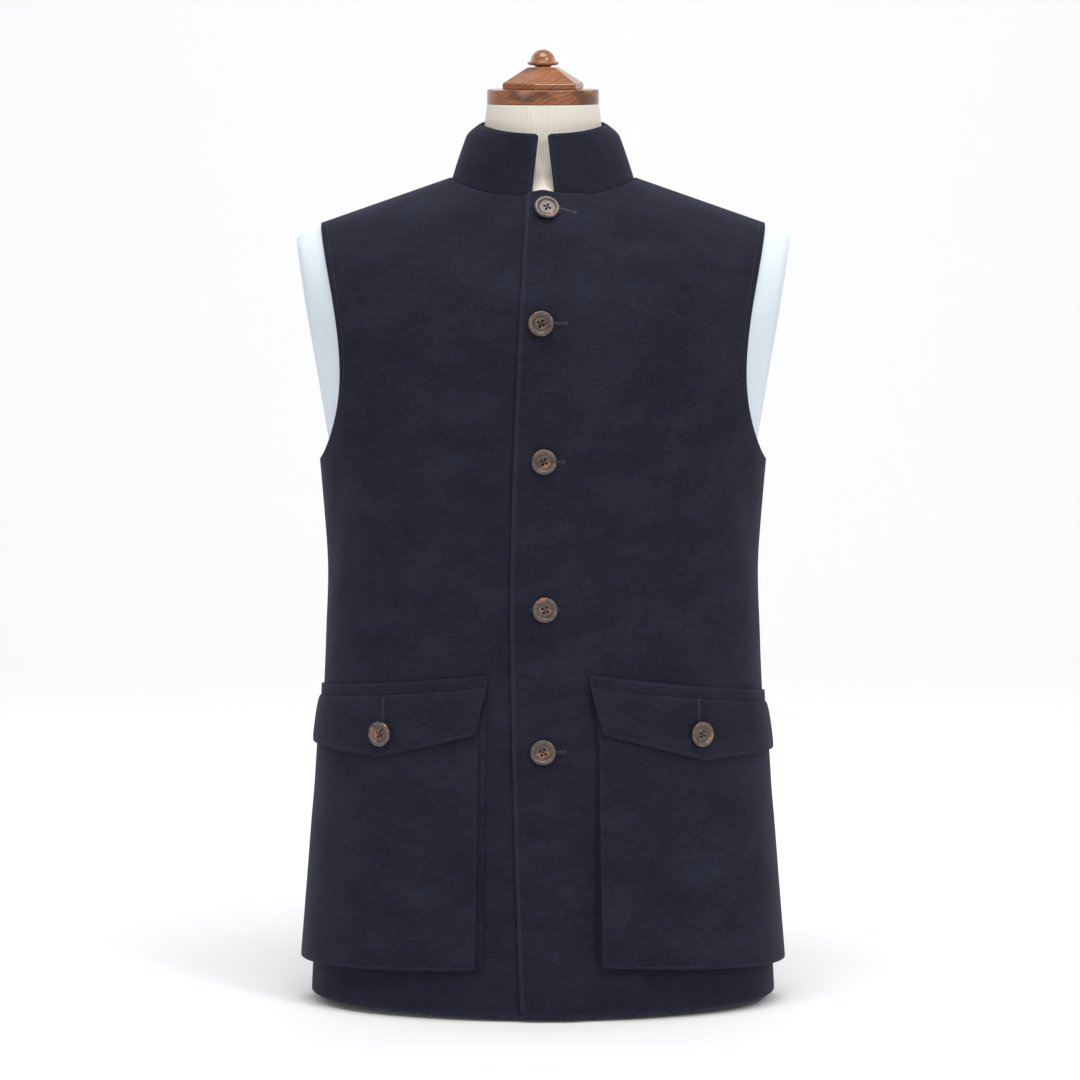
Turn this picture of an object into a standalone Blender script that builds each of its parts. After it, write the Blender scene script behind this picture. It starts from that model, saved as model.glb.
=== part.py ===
"""Navy nehru waistcoat buttoned up on a limbless tailor's dress form.

Metres, +Z up, the front faces -Y and the origin is the middle of the form's flat base.
The garment is cut as a tailor cuts it: two fronts, a one-piece back, a stand collar and,
on each front, a bellows pocket made of a patch, a gusset strip and a pointed flap.
Every panel is a sheet laid on one body surface and given the thickness of the cloth.

A place on the body surface is a pair. "turn" is the angle round the body in degrees:
0 centre front, 90 the wearer's left side, 180 centre back, -90 the right side. "rise" runs
from -1 at the floor through 0 at the chest line to 1 on the ridge of the shoulders.
"""

import math

import bmesh
import bpy
from mathutils import Matrix, Vector

# Cloth and seams
CLOTH = 0.0018
POCKET_CLOTH = 0.0016
REST = 0.0009

# Body surface: outer half-width and half-depths by height
HALF_WIDTH = ((0.0, 0.2180), (0.14, 0.2112), (0.281, 0.2046), (0.365, 0.2004), (0.42, 0.2006),
              (0.504, 0.2068), (0.570, 0.2145), (0.650, 0.2325), (0.72, 0.2490), (0.80, 0.268))
FRONT_DEPTH = ((0.0, 0.1315), (0.20, 0.1270), (0.365, 0.1215), (0.50, 0.1235), (0.60, 0.1265),
               (0.72, 0.1265), (0.80, 0.1250))
BACK_DEPTH = ((0.0, 0.1260), (0.20, 0.1180), (0.365, 0.1060), (0.50, 0.1140), (0.60, 0.1240),
              (0.72, 0.1240), (0.80, 0.1200))
ROUNDNESS = 2.1
CHEST = 0.58
RIDGE_TOP = 0.7920
RIDGE_SLOPE = 0.35
SHOULDER_ROUNDNESS = 2.2

# Hem, armholes and neckline of the coat
HEM = 0.0065
HEM_DROP = 0.0030
ARMPIT = 0.504
ARMHOLE_STRAIGHT = 0.66
FRONT_ARMHOLE_TURN = 55.0
BACK_ARMHOLE_TURN = 125.0
ARMHOLE_ROUNDNESS = 2.2
HALF_CHEST = 0.195
NECK_HALF_WIDTH = 0.0855
NECK_FRONT = 0.0740
NECK_BACK = 0.0660

# Front overlap: how far the top front reaches past the centre line
LAP_WIDEST = 0.0295
LAP_WIDEST_HEIGHT = 0.38
LAP_TOP_HEIGHT = 0.756
LAP_AT_NECK = 0.0147
LAP_AT_HEM = 0.0206
LAP_LOWER_CORNER = (0.9, 0.003)
LAP_UPPER_CORNER = (0.5, -0.004)
LAP_LIFT = CLOTH + 0.0013
LAP_SETTLES = (0.042, 0.012)
UNDERLAP = 0.018

# Stand collar
COLLAR_TOP_HALF_WIDTH = 0.0648
COLLAR_INSET = CLOTH + 0.0015
COLLAR_SEAM = 0.0008
COLLAR_CORNER = 0.0028
COLLAR_COLUMNS = 34
COLLAR_ROW_SHARES = (0.0, 0.33, 0.66, 0.84, 0.94, 1.0)
COLLAR_CURL = 0.0085
COLLAR_CURL_START = 0.78
COLLAR_CURL_POWER = 1.6
COLLAR_TOP_FRONT = 0.0650
COLLAR_TOP_BACK = 0.0620
COLLAR_TOP_HEIGHTS = (0.8063, 0.8125, 0.8180)
COLLAR_GAP_BOTTOM = 0.0102
COLLAR_GAP_TOP = 0.0038

# Panels' grids, and how far the panels stop short of their shared seams
SEAM_TURN = 0.10
SHOULDER_SEAM_RISE = 1 - 0.0032
NECK_END_ANGLE = 89.5
HEM_ROWS = 17
ARMHOLE_ROWS = 6
TOP_PULL = 1.5
SHOULDER_ROWS = 6
NECK_COLUMNS = 7
BACK_NECK_COLUMNS = 6
SHOULDER_COLUMNS = 7

# Bellows pockets: angles and heights on the wearer's right and left
POCKETS = {
    "right": {"side": -1, "strip_turn": 13.5, "inner_turn": 15.4, "top": (0.3175, 0.2958),
              "bottom": (0.0475, 0.0385), "flare": 0.0070, "seat": 0.2600},
    "left": {"side": 1, "strip_turn": 11.1, "inner_turn": 13.2, "top": (0.3184, 0.2893),
             "bottom": (0.0505, 0.0365), "flare": 0.0025, "seat": 0.2600},
}
POCKET_OUTER_TURN = 86.0
FRONT_RADIUS = 0.2
SIDE_RADIUS = 0.125
POCKET_SPREAD = 0.375
POCKET_DEPTH_TOP = 0.0018
POCKET_DEPTH_BOTTOM = 0.0100
GUSSET_CLOTH = 0.0012
GUSSET_INSET = 0.0012
GUSSET_HEAD = 0.0011
GUSSET_OUTER_FLARE = 0.0025
GUSSET_FOOT_SINK = 0.0015
FLAP_CORNER = 0.0035
POCKET_COLUMNS = 12
POCKET_ROWS = 9
STRIP_HEIGHT = 0.0120
MOUTH_DROP = 0.0130
FLAP_EDGE = 0.0430
FLAP_POINT = 0.0565
FLAP_LIFT = 0.0070
FLAP_LEAN = 0.4
FLAP_ROWS = 5

# Buttons: diameter, and the (x, height) of those down the front
BUTTON_RADIUS = 0.0115
BUTTON_THICKNESS = 0.0036
BUTTON_HOLE_RADIUS = 0.0009
BUTTON_HOLE_SPACING = 0.0038
BUTTON_HOLE_TURN = math.radians(18)
BUTTON_PLACES = ((0.0027, 0.7370), (-0.0018, 0.6368), (0.0009, 0.5129), (0.0018, 0.3776),
                 (0.0000, 0.2475))
BUTTON_SEAT = 0.0006
FLAP_BUTTON_SEAT = 0.0004

# Dress form
FORM_HALF_WIDTH = ((0.0, 0.188), (0.12, 0.190), (0.33, 0.166), (0.47, 0.190), (0.53, 0.2010),
                   (0.60, 0.2145), (0.65, 0.2285), (0.72, 0.2460), (0.80, 0.264))
FORM_FRONT = ((0.0, 0.104), (0.12, 0.106), (0.33, 0.094), (0.47, 0.112), (0.60, 0.1215),
              (0.72, 0.1220), (0.80, 0.1200))
FORM_BACK = ((0.0, 0.100), (0.12, 0.104), (0.33, 0.080), (0.47, 0.100), (0.60, 0.1125),
             (0.72, 0.1150), (0.80, 0.1150))
FORM_RIDGE_DROP = 0.0024
FORM_TOP = 0.7565
PLATE_TOP = (0.2282, 0.7130)
PLATE_FOOT = (0.2018, 0.5330)
PLATE_EDGE = 0.0022
FORM_SEGMENTS = 48
NECK_PROFILE = ((0.7568, 0.600), (0.7585, 0.600), (0.7610, 0.600), (0.7650, 0.600), (0.7730, 0.600),
                (0.7850, 0.572), (0.8000, 0.550), (0.8157, 0.535), (0.8315, 0.516))
NECK_RADIUS = 0.1
NECK_SETTLES = 0.0165
NECK_EASING = 3
CAP_RADIUS = 0.0516
CAP_HEIGHTS = (0.8318, 0.8451)
CAP_EASING = 0.0012
BLOCK_RADIUS = 0.0394
BLOCK_TOP_RADIUS = 0.0152
BLOCK_HEIGHTS = (0.8454, 0.8506, 0.8652)
BLOCK_TURN = math.radians(19)
FINIAL_PROFILE = ((0.0, 0.8817), (0.0045, 0.8808), (0.0083, 0.8783), (0.0106, 0.8748),
                  (0.0112, 0.8716), (0.0119, 0.8709), (0.0144, 0.8702), (0.0144, 0.8680),
                  (0.0125, 0.8671), (0.0074, 0.8667), (0.0074, 0.8655), (0.0, 0.8655))

NAVY = (0.018, 0.021, 0.036)
HORN = (0.16, 0.085, 0.045)
PALE_BLUE = (0.68, 0.74, 0.79)
CREAM = (0.76, 0.70, 0.61)
ROSEWOOD = (0.30, 0.12, 0.05)


def clear_scene():
    for item in list(bpy.data.objects):
        bpy.data.objects.remove(item, do_unlink=True)


def collection(name):
    made = bpy.data.collections.new(name)
    bpy.context.scene.collection.children.link(made)
    return made


def material(name, colour, roughness, metallic=0.0):
    made = bpy.data.materials.new(name)
    made.use_nodes = True
    shader = made.node_tree.nodes["Principled BSDF"]
    shader.inputs["Base Color"].default_value = (*colour, 1.0)
    shader.inputs["Roughness"].default_value = roughness
    shader.inputs["Metallic"].default_value = metallic
    return made


def smooth_through(table, at):
    """A smooth curve through (place, value) pairs, read at one place."""
    last = len(table) - 1
    left = max((i for i in range(last) if table[i][0] <= at), default=0)
    x0, y0 = table[left]
    x1, y1 = table[left + 1]
    before = table[max(left - 1, 0)]
    after = table[min(left + 2, last)]
    span = x1 - x0
    slope0 = (y1 - before[1]) / (x1 - before[0]) * span
    slope1 = (after[1] - y0) / (after[0] - x0) * span
    t = min(max((at - x0) / span, 0.0), 1.0)
    return ((2 * t**3 - 3 * t**2 + 1) * y0 + (t**3 - 2 * t**2 + t) * slope0
            + (3 * t**2 - 2 * t**3) * y1 + (t**3 - t**2) * slope1)


def ease(value):
    t = min(max(value, 0.0), 1.0)
    return t * t * (3 - 2 * t)


def mix(a, b, t):
    return a + (b - a) * t


def signed_power(value, exponent):
    return math.copysign(abs(value) ** exponent, value)


def half_width(height):
    return smooth_through(HALF_WIDTH, height) - CLOTH


def half_depth(height, back):
    return smooth_through(BACK_DEPTH if back else FRONT_DEPTH, height) - CLOTH


def ridge(x):
    """Height of the shoulder ridge above a place across the body."""
    return RIDGE_TOP - RIDGE_SLOPE * abs(x)


def on_body(turn, rise):
    """The point of the cloth's inner face at a turn and a rise."""
    sine = math.sin(math.radians(turn))
    cosine = math.cos(math.radians(turn))
    across = signed_power(sine, 2 / ROUNDNESS)
    along = signed_power(cosine, 2 / ROUNDNESS)
    if rise <= 0:
        height = CHEST * (1 + rise)
        closing = 1.0
    else:
        climb = signed_power(math.sin(rise * math.pi / 2), 2 / SHOULDER_ROUNDNESS)
        closing = math.cos(rise * math.pi / 2)
        height = CHEST
        for _ in range(12):
            height = mix(CHEST, ridge(half_width(height) * across), climb)
    depth = half_depth(height, cosine < 0)
    return Vector((half_width(height) * across, -depth * along * closing, height))


def normal_at(turn, rise):
    step_turn = on_body(turn + 0.6, rise) - on_body(turn - 0.6, rise)
    step_rise = on_body(turn, rise + 0.004) - on_body(turn, rise - 0.004)
    return step_turn.cross(step_rise).normalized()


def raised(turn, rise, lift):
    """A point that stands clear of the cloth's inner face by a lift."""
    if lift == 0:
        return on_body(turn, rise)
    return on_body(turn, rise) + normal_at(turn, rise) * lift


def rise_at(x, height):
    if height <= CHEST:
        return height / CHEST - 1
    climb = min((height - CHEST) / (ridge(x) - CHEST), 1.0)
    return math.asin(climb ** (SHOULDER_ROUNDNESS / 2)) * 2 / math.pi


def turn_at(x, height, back=False):
    across = min(abs(x) / half_width(height), 1.0) ** (ROUNDNESS / 2)
    turn = math.degrees(math.asin(across))
    if back:
        turn = 180 - turn
    return math.copysign(turn, x)


def neckline(angle, back=False):
    """The turn and rise of the neckline at an angle round the neck from its middle."""
    x = NECK_HALF_WIDTH * math.sin(math.radians(angle))
    wanted = (NECK_BACK if back else NECK_FRONT) * math.cos(math.radians(angle))
    low, high = CHEST, ridge(x)
    for _ in range(40):
        height = (low + high) / 2
        width = min(abs(x) / half_width(height), 1.0)
        climb = (height - CHEST) / (ridge(x) - CHEST)
        depth = (half_depth(height, back) * (1 - width**ROUNDNESS) ** (1 / ROUNDNESS)
                 * math.sqrt(max(1 - climb**SHOULDER_ROUNDNESS, 0.0)))
        if depth > wanted:
            low = height
        else:
            high = height
    return turn_at(x, height, back), rise_at(x, height)


def hem_height(turn):
    """The hem dips a little at the centre front and back."""
    return HEM - HEM_DROP * math.cos(math.radians(turn)) ** 2


def side_edge(hem_turn, armhole_turn):
    """A panel's side, up the side seam and round the armhole to the shoulder."""
    edge = [(hem_turn, rise_at(HALF_CHEST, height)) for height in level_rows(hem_height(hem_turn))]
    swing = hem_turn - armhole_turn
    for k in range(1, ARMHOLE_ROWS + 1):
        angle = math.pi / 2 * k / ARMHOLE_ROWS
        down = math.cos(angle) ** (2 / ARMHOLE_ROUNDNESS) if k < ARMHOLE_ROWS else 0.0
        out = 1 - math.sin(angle) ** (2 / ARMHOLE_ROUNDNESS)
        height = mix(ARMHOLE_STRAIGHT, ARMPIT, down)
        edge.append((armhole_turn + swing * out, rise_at(HALF_CHEST, height)))
    start = edge[-1][1]
    for k in range(1, SHOULDER_ROWS + 1):
        edge.append((armhole_turn, mix(start, SHOULDER_SEAM_RISE, k / SHOULDER_ROWS)))
    return edge


def level_rows(hem):
    first = hem + 0.007
    return [hem] + [mix(first, ARMPIT, k / (HEM_ROWS - 1)) for k in range(HEM_ROWS)]


def centre_edge(reach, hem, top_rise):
    """A panel's edge at the centre, whose x is reach(height)."""
    upper = ARMHOLE_ROWS + SHOULDER_ROWS
    rises = [rise_at(0.0, height) for height in level_rows(hem)]
    start = rises[-1]
    rises += [mix(start, top_rise, k / upper) for k in range(1, upper + 1)]
    edge = []
    for rise in rises:
        height = on_body(0, rise).z
        edge.append((turn_at(reach(height), height), rise))
    return edge


def coons(bottom, top, left, right):
    """A grid of (turn, rise) pairs between four edges; the top one acts only above the armpit."""
    columns, rows = len(bottom) - 1, len(left) - 1
    grid = []
    for j in range(rows + 1):
        t = max((j - HEM_ROWS) / (rows - HEM_ROWS), 0.0)**TOP_PULL
        row = []
        for i in range(columns + 1):
            s = i / columns
            pair = []
            for axis in (0, 1):
                ruled = mix(bottom[i][axis], top[i][axis], t) + mix(left[j][axis], right[j][axis], s)
                corners = mix(mix(bottom[0][axis], bottom[-1][axis], s),
                              mix(top[0][axis], top[-1][axis], s), t)
                pair.append(ruled - corners)
            row.append(tuple(pair))
        grid.append(row)
    return grid


def grid_mesh(name, grid, around=False, caps=False):
    """A mesh through rows of points, open or closed round each row, with flat caps."""
    build = bmesh.new()
    rows = [[build.verts.new(point) for point in row] for row in grid]
    count = len(rows[0])
    for low, high in zip(rows, rows[1:]):
        for i in range(count if around else count - 1):
            k = (i + 1) % count
            build.faces.new((low[i], low[k], high[k], high[i]))
    if caps:
        build.faces.new(rows[0][::-1])
        build.faces.new(rows[-1])
    mesh = bpy.data.meshes.new(name)
    build.to_mesh(mesh)
    build.free()
    mesh.shade_smooth()
    return mesh


def add(mesh, look, place=None):
    made = bpy.data.objects.new(mesh.name, mesh)
    mesh.materials.append(look)
    if place is not None:
        made.matrix_world = place
    COAT.objects.link(made)
    return made


def sheet(name, grid, look, thickness, offset=1.0):
    """A cloth piece: an open grid of points with the cloth's thickness."""
    made = add(grid_mesh(name, grid), look)
    shell = made.modifiers.new("Cloth", "SOLIDIFY")
    shell.thickness = thickness
    shell.offset = offset
    return made


def turned(name, profile, look, segments, place=None):
    """A turned piece from an outer profile that runs down from the axis to the axis."""
    build = bmesh.new()
    points = [build.verts.new((radius, 0, height)) for radius, height in profile]
    for a, b in zip(points, points[1:]):
        build.edges.new((a, b))
    mesh = bpy.data.meshes.new(name)
    build.to_mesh(mesh)
    build.free()
    made = add(mesh, look, place)
    spin = made.modifiers.new("Turning", "SCREW")
    spin.steps = segments
    spin.render_steps = segments
    spin.use_merge_vertices = True
    spin.merge_threshold = 0.00005
    spin.use_smooth_shade = True
    return made


def lap_reach(height):
    """How far the top front passes the centre line at a height."""
    if height > LAP_WIDEST_HEIGHT:
        share = (height - LAP_WIDEST_HEIGHT) / (LAP_TOP_HEIGHT - LAP_WIDEST_HEIGHT)
        return LAP_WIDEST - (LAP_WIDEST - LAP_AT_NECK) * min(share, 1.0) ** 1.6
    share = (LAP_WIDEST_HEIGHT - height) / (LAP_WIDEST_HEIGHT - HEM)
    return LAP_WIDEST - (LAP_WIDEST - LAP_AT_HEM) * min(share, 1.0) ** 1.6


def lap_lift(x):
    """The top front stands over the underlap by its thickness, and settles beside it."""
    return LAP_LIFT * ease((LAP_SETTLES[0] - x) / LAP_SETTLES[1])


def top_edge(start_angle, shoulder_turn):
    """Neckline from an angle out to the shoulder, then the shoulder seam."""
    last_turn, _ = neckline(NECK_END_ANGLE)
    edge = [neckline(mix(start_angle, NECK_END_ANGLE, k / NECK_COLUMNS)) for k in range(NECK_COLUMNS)]
    for k in range(SHOULDER_COLUMNS + 1):
        edge.append((mix(last_turn, shoulder_turn, k / SHOULDER_COLUMNS), SHOULDER_SEAM_RISE))
    return edge


def front_grid(reach, overlap_angle):
    """The wearer's left front as rows of (turn, rise), from the centre edge to the side."""
    seam_turn = 90 - SEAM_TURN
    left = centre_edge(reach, hem_height(0), neckline(overlap_angle)[1])
    top = top_edge(overlap_angle, FRONT_ARMHOLE_TURN)
    left[-1] = top[0]
    right = side_edge(seam_turn, FRONT_ARMHOLE_TURN)
    columns = NECK_COLUMNS + SHOULDER_COLUMNS
    bottom = []
    for k in range(columns + 1):
        turn = mix(left[0][0], seam_turn, k / columns)
        bottom.append((turn, rise_at(0.0, hem_height(turn))))
    return coons(bottom, top, left, right)


def rounded_corner(grid, row, column, turn, height):
    """Draws one corner of a grid of (turn, rise) pairs in, so that it isn't sharp."""
    turn_now, rise_now = grid[row][column]
    grid[row][column] = (turn_now + turn, rise_now + height / CHEST)


def fronts(cloth):
    top_angle = -math.degrees(math.asin(LAP_AT_NECK / NECK_HALF_WIDTH))
    grid = front_grid(lambda height: -lap_reach(height), top_angle)
    rounded_corner(grid, 0, 0, *LAP_LOWER_CORNER)
    rounded_corner(grid, -1, 0, *LAP_UPPER_CORNER)
    points = [[raised(turn, rise, lap_lift(on_body(turn, rise).x)) for turn, rise in row]
              for row in grid]
    sheet("front_left", points, cloth, CLOTH)
    under_angle = -math.degrees(math.asin(UNDERLAP / NECK_HALF_WIDTH))
    grid = front_grid(lambda height: -UNDERLAP, under_angle)
    points = [[on_body(-turn, rise) for turn, rise in reversed(row)] for row in grid]
    sheet("front_right", points, cloth, CLOTH)


def back(cloth):
    """The back in one piece, built for the left half and mirrored about the centre."""
    seam_turn = 90 + SEAM_TURN
    side = side_edge(seam_turn, BACK_ARMHOLE_TURN)
    neck_turn, _ = neckline(NECK_END_ANGLE, True)
    edge = [(mix(BACK_ARMHOLE_TURN, neck_turn, k / SHOULDER_COLUMNS), SHOULDER_SEAM_RISE)
            for k in range(SHOULDER_COLUMNS)]
    edge.append((neck_turn, SHOULDER_SEAM_RISE))
    for k in range(1, BACK_NECK_COLUMNS + 1):
        edge.append(neckline(mix(NECK_END_ANGLE, 0, k / BACK_NECK_COLUMNS), True))
    edge[-1] = (180.0, edge[-1][1])
    middle = [(180.0, rise) for _, rise in centre_edge(lambda height: 0.0, hem_height(180), edge[-1][1])]
    columns = len(edge) - 1
    bottom = []
    for k in range(columns + 1):
        turn = mix(seam_turn, 180, k / columns)
        bottom.append((turn, rise_at(0.0, hem_height(turn))))
    grid = coons(bottom, edge, side, middle)
    points = []
    for row in grid:
        half = [on_body(turn, rise) for turn, rise in row]
        points.append(half + [Vector((-p.x, p.y, p.z)) for p in reversed(half[:-1])])
    sheet("back", points, cloth, CLOTH)


def collar(cloth):
    """The stand collar, from one front end round the back to the other."""
    front_top, side_top, back_top = COLLAR_TOP_HEIGHTS
    points = []
    for share in COLLAR_ROW_SHARES:
        gap = mix(COLLAR_GAP_BOTTOM, COLLAR_GAP_TOP, share)
        if share == 1.0:
            gap += COLLAR_CORNER
        width = mix(NECK_HALF_WIDTH - COLLAR_INSET, COLLAR_TOP_HALF_WIDTH, share)
        start = math.degrees(math.asin(gap / width))
        row = []
        for k in range(COLLAR_COLUMNS + 1):
            angle = mix(start, 360 - start, k / COLLAR_COLUMNS)
            from_front = min(angle, 360 - angle)
            is_back = from_front > 90
            near_middle = 180 - from_front if is_back else from_front
            bottom = (NECK_BACK if is_back else NECK_FRONT) - COLLAR_INSET
            top = COLLAR_TOP_BACK if is_back else COLLAR_TOP_FRONT
            end = back_top if is_back else front_top
            low = on_body(*neckline(near_middle, is_back)).z + COLLAR_SEAM
            sideways = math.sin(math.radians(near_middle)) ** 2
            curled = max(share - COLLAR_CURL_START, 0.0) / (1 - COLLAR_CURL_START)
            reach = width - COLLAR_CURL * curled**COLLAR_CURL_POWER * sideways
            row.append(Vector((reach * math.sin(math.radians(angle)),
                               -mix(bottom, top, share) * math.cos(math.radians(angle)),
                               mix(low, mix(end, side_top, sideways), share))))
        points.append(row)
    sheet("collar", points, cloth, CLOTH)


def pocket_turn(spec, inner, share):
    """The turn a share of the way across a pocket, evenly spaced along the cloth."""
    even = share + POCKET_SPREAD * share * (share - 1)
    return spec["side"] * mix(inner, POCKET_OUTER_TURN, even)


def pocket_depth(down):
    """How far the patch's inner face stands off the coat, a share of the way down."""
    return mix(POCKET_DEPTH_TOP, POCKET_DEPTH_BOTTOM, down)


def patch_place(spec, across, down):
    """The turn and height on a pocket's patch."""
    top = mix(*spec["top"], across) - STRIP_HEIGHT - MOUTH_DROP
    height = mix(top, mix(*spec["bottom"], across), down)
    return pocket_turn(spec, spec["inner_turn"], across), height


def ordered(spec, row):
    """Rows always run with the turn, so that every sheet's outside faces out."""
    return row if spec["side"] > 0 else row[::-1]


def pocket_patch(label, spec, cloth):
    points = []
    for j in range(POCKET_ROWS + 1):
        down = 1 - j / POCKET_ROWS
        row = []
        for i in range(POCKET_COLUMNS + 1):
            turn, height = patch_place(spec, i / POCKET_COLUMNS, down)
            row.append(raised(turn, height / CHEST - 1, CLOTH + pocket_depth(down)))
        points.append(ordered(spec, row))
    sheet(f"pocket_{label}", points, cloth, POCKET_CLOTH)


def pocket_gusset(label, spec, cloth):
    """The bellows strip down one side of the patch, along its foot and up the other side."""
    path = [(0, j / POCKET_ROWS) for j in range(1, POCKET_ROWS + 1)]
    path += [(i / POCKET_COLUMNS, 1) for i in range(1, POCKET_COLUMNS + 1)]
    path += [(1, 1 - j / POCKET_ROWS) for j in range(1, POCKET_ROWS)]
    foot_row, head_row = [], []
    for across, down in path:
        turn, height = patch_place(spec, across, down)
        inward = spec["side"] * math.degrees(GUSSET_INSET / FRONT_RADIUS)
        lift_in = GUSSET_INSET if down == 1 else 0.0
        outward = {0: -spec["side"] * math.degrees(spec["flare"] / FRONT_RADIUS),
                   1: spec["side"] * math.degrees(GUSSET_OUTER_FLARE / SIDE_RADIUS)}.get(across, 0.0)
        sink = -GUSSET_FOOT_SINK if down == 1 else 0.0
        head_turn = turn + (inward if across == 0 else -1.4 * inward if across == 1 else 0.0)
        head_height = (height + lift_in) / CHEST - 1
        foot_height = (height + lift_in + sink) / CHEST - 1
        head_row.append(raised(head_turn, head_height, CLOTH + pocket_depth(down) - GUSSET_HEAD))
        foot_row.append(raised(head_turn + outward, foot_height, CLOTH + REST))
    rows = [head_row, foot_row] if spec["side"] > 0 else [foot_row, head_row]
    sheet(f"pocket_gusset_{label}", rows, cloth, GUSSET_CLOTH, 0.0)


def flap_drop(across):
    """How far the flap hangs below its fold, with a point at the middle."""
    towards_point = 1 - abs(2 * across - 1)
    return mix(FLAP_EDGE, FLAP_POINT, towards_point**1.25)


def flap_lift(down):
    """The flap leans away from the coat over the mouth of the patch."""
    return mix(REST, FLAP_LIFT, min(down, 1.0) ** FLAP_LEAN)


def flap(label, spec, cloth):
    """The pointed flap with the strip above its fold that is sewn to the coat."""
    points = []
    for j in range(FLAP_ROWS, 0, -1):
        down = j / FLAP_ROWS
        row = []
        for i in range(POCKET_COLUMNS + 1):
            across = i / POCKET_COLUMNS
            corner = FLAP_CORNER if j == FLAP_ROWS and i in (0, POCKET_COLUMNS) else 0.0
            fold = mix(*spec["top"], across) - STRIP_HEIGHT
            inner = mix(spec["strip_turn"], spec["inner_turn"] + 0.3, down)
            turn = pocket_turn(spec, inner, across)
            height = fold - flap_drop(across) * down + corner
            row.append(raised(turn, height / CHEST - 1, CLOTH + flap_lift(down)))
        points.append(ordered(spec, row))
    for above in (0.0, 0.35, 1.0):
        row = []
        for i in range(POCKET_COLUMNS + 1):
            across = i / POCKET_COLUMNS
            turn = pocket_turn(spec, spec["strip_turn"], across)
            height = mix(*spec["top"], across) - STRIP_HEIGHT * (1 - above)
            row.append(raised(turn, height / CHEST - 1, CLOTH + REST))
        points.append(ordered(spec, row))
    sheet(f"flap_{label}", points, cloth, POCKET_CLOTH)


def frame_on(turn, rise, lift):
    """A place on the surface whose own +Z points out of the cloth."""
    normal = normal_at(turn, rise)
    across = Vector((0, 0, 1)).cross(normal).normalized()
    upward = normal.cross(across)
    centre = on_body(turn, rise) + normal * lift
    place = Matrix.Identity(4)
    for column, axis in enumerate((across, upward, normal, centre)):
        place.col[column][:3] = axis
    return place


def button(name, place, horn):
    """A four-hole button with a raised rim, its underside on its own z = 0."""
    radius, thick = BUTTON_RADIUS, BUTTON_THICKNESS
    profile = ((0.0, thick * 0.62), (radius * 0.60, thick * 0.66), (radius * 0.76, thick),
               (radius * 0.92, thick * 0.93), (radius, thick * 0.55), (radius * 0.86, thick * 0.12),
               (radius * 0.5, 0.0), (0.0, 0.0))
    made = turned(name, profile, horn, 18, place)
    build = bmesh.new()
    for k in range(4):
        angle = math.pi / 4 + k * math.pi / 2 + BUTTON_HOLE_TURN
        away = BUTTON_HOLE_SPACING / math.sqrt(2)
        spot = Matrix.Translation((away * math.cos(angle), away * math.sin(angle), thick / 2))
        bmesh.ops.create_cone(build, cap_ends=True, segments=6, radius1=BUTTON_HOLE_RADIUS,
                              radius2=BUTTON_HOLE_RADIUS, depth=thick * 2, matrix=spot)
    mesh = bpy.data.meshes.new(f"{name}_drill")
    build.to_mesh(mesh)
    build.free()
    drill = bpy.data.objects.new(mesh.name, mesh)
    drill.matrix_world = place
    drill.hide_render = True
    drill.display_type = "WIRE"
    CUTTERS.objects.link(drill)
    holes = made.modifiers.new("Thread holes", "BOOLEAN")
    holes.operation = "DIFFERENCE"
    holes.object = drill


def buttons(horn):
    for number, (x, height) in enumerate(BUTTON_PLACES, 1):
        lift = LAP_LIFT + CLOTH + BUTTON_SEAT
        button(f"button_{number}", frame_on(turn_at(x, height), rise_at(x, height), lift), horn)
    for label, spec in POCKETS.items():
        fold = mix(*spec["top"], 0.5) - STRIP_HEIGHT
        down = (fold - spec["seat"]) / flap_drop(0.5)
        inner = mix(spec["strip_turn"], spec["inner_turn"] + 0.3, down)
        lift = CLOTH + flap_lift(down) + POCKET_CLOTH + BUTTON_SEAT + FLAP_BUTTON_SEAT
        turn = pocket_turn(spec, inner, 0.5)
        button(f"flap_button_{label}", frame_on(turn, spec["seat"] / CHEST - 1, lift), horn)


def plate_limit(height):
    """How far out the flat end of the form's shoulder stands at a height."""
    share = (height - PLATE_FOOT[1]) / (PLATE_TOP[1] - PLATE_FOOT[1])
    return mix(PLATE_FOOT[0], PLATE_TOP[0], share) if share > -0.12 else 1.0


def cut_flat(x, limit):
    """Holds x inside a flat end, with a small round where the two meet."""
    over = (limit - abs(x)) / PLATE_EDGE
    held = limit - PLATE_EDGE * (over if over > 30 else math.log1p(math.exp(over)))
    return math.copysign(max(held, 0.0), x)


def form_ring(height):
    """One level ring of the dress form."""
    top = RIDGE_TOP - FORM_RIDGE_DROP
    widest = smooth_through(FORM_HALF_WIDTH, height)
    if height > CHEST:
        widest = min(widest, (top - height) / RIDGE_SLOPE)
    ring = []
    for k in range(FORM_SEGMENTS):
        angle = 2 * math.pi * k / FORM_SEGMENTS
        sine, cosine = math.sin(angle), math.cos(angle)
        x = widest * signed_power(sine, 2 / ROUNDNESS)
        full = smooth_through(FORM_HALF_WIDTH, height)
        depth = smooth_through(FORM_BACK if cosine < 0 else FORM_FRONT, height)
        depth *= max(1 - (abs(x) / full) ** ROUNDNESS, 0.0) ** (1 / ROUNDNESS)
        if height > CHEST:
            climb = min((height - CHEST) / (top - RIDGE_SLOPE * abs(x) - CHEST), 1.0)
            depth *= math.sqrt(max(1 - climb**SHOULDER_ROUNDNESS, 0.0))
        ring.append(Vector((cut_flat(x, plate_limit(height)), -math.copysign(depth, cosine), height)))
    return ring


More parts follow.
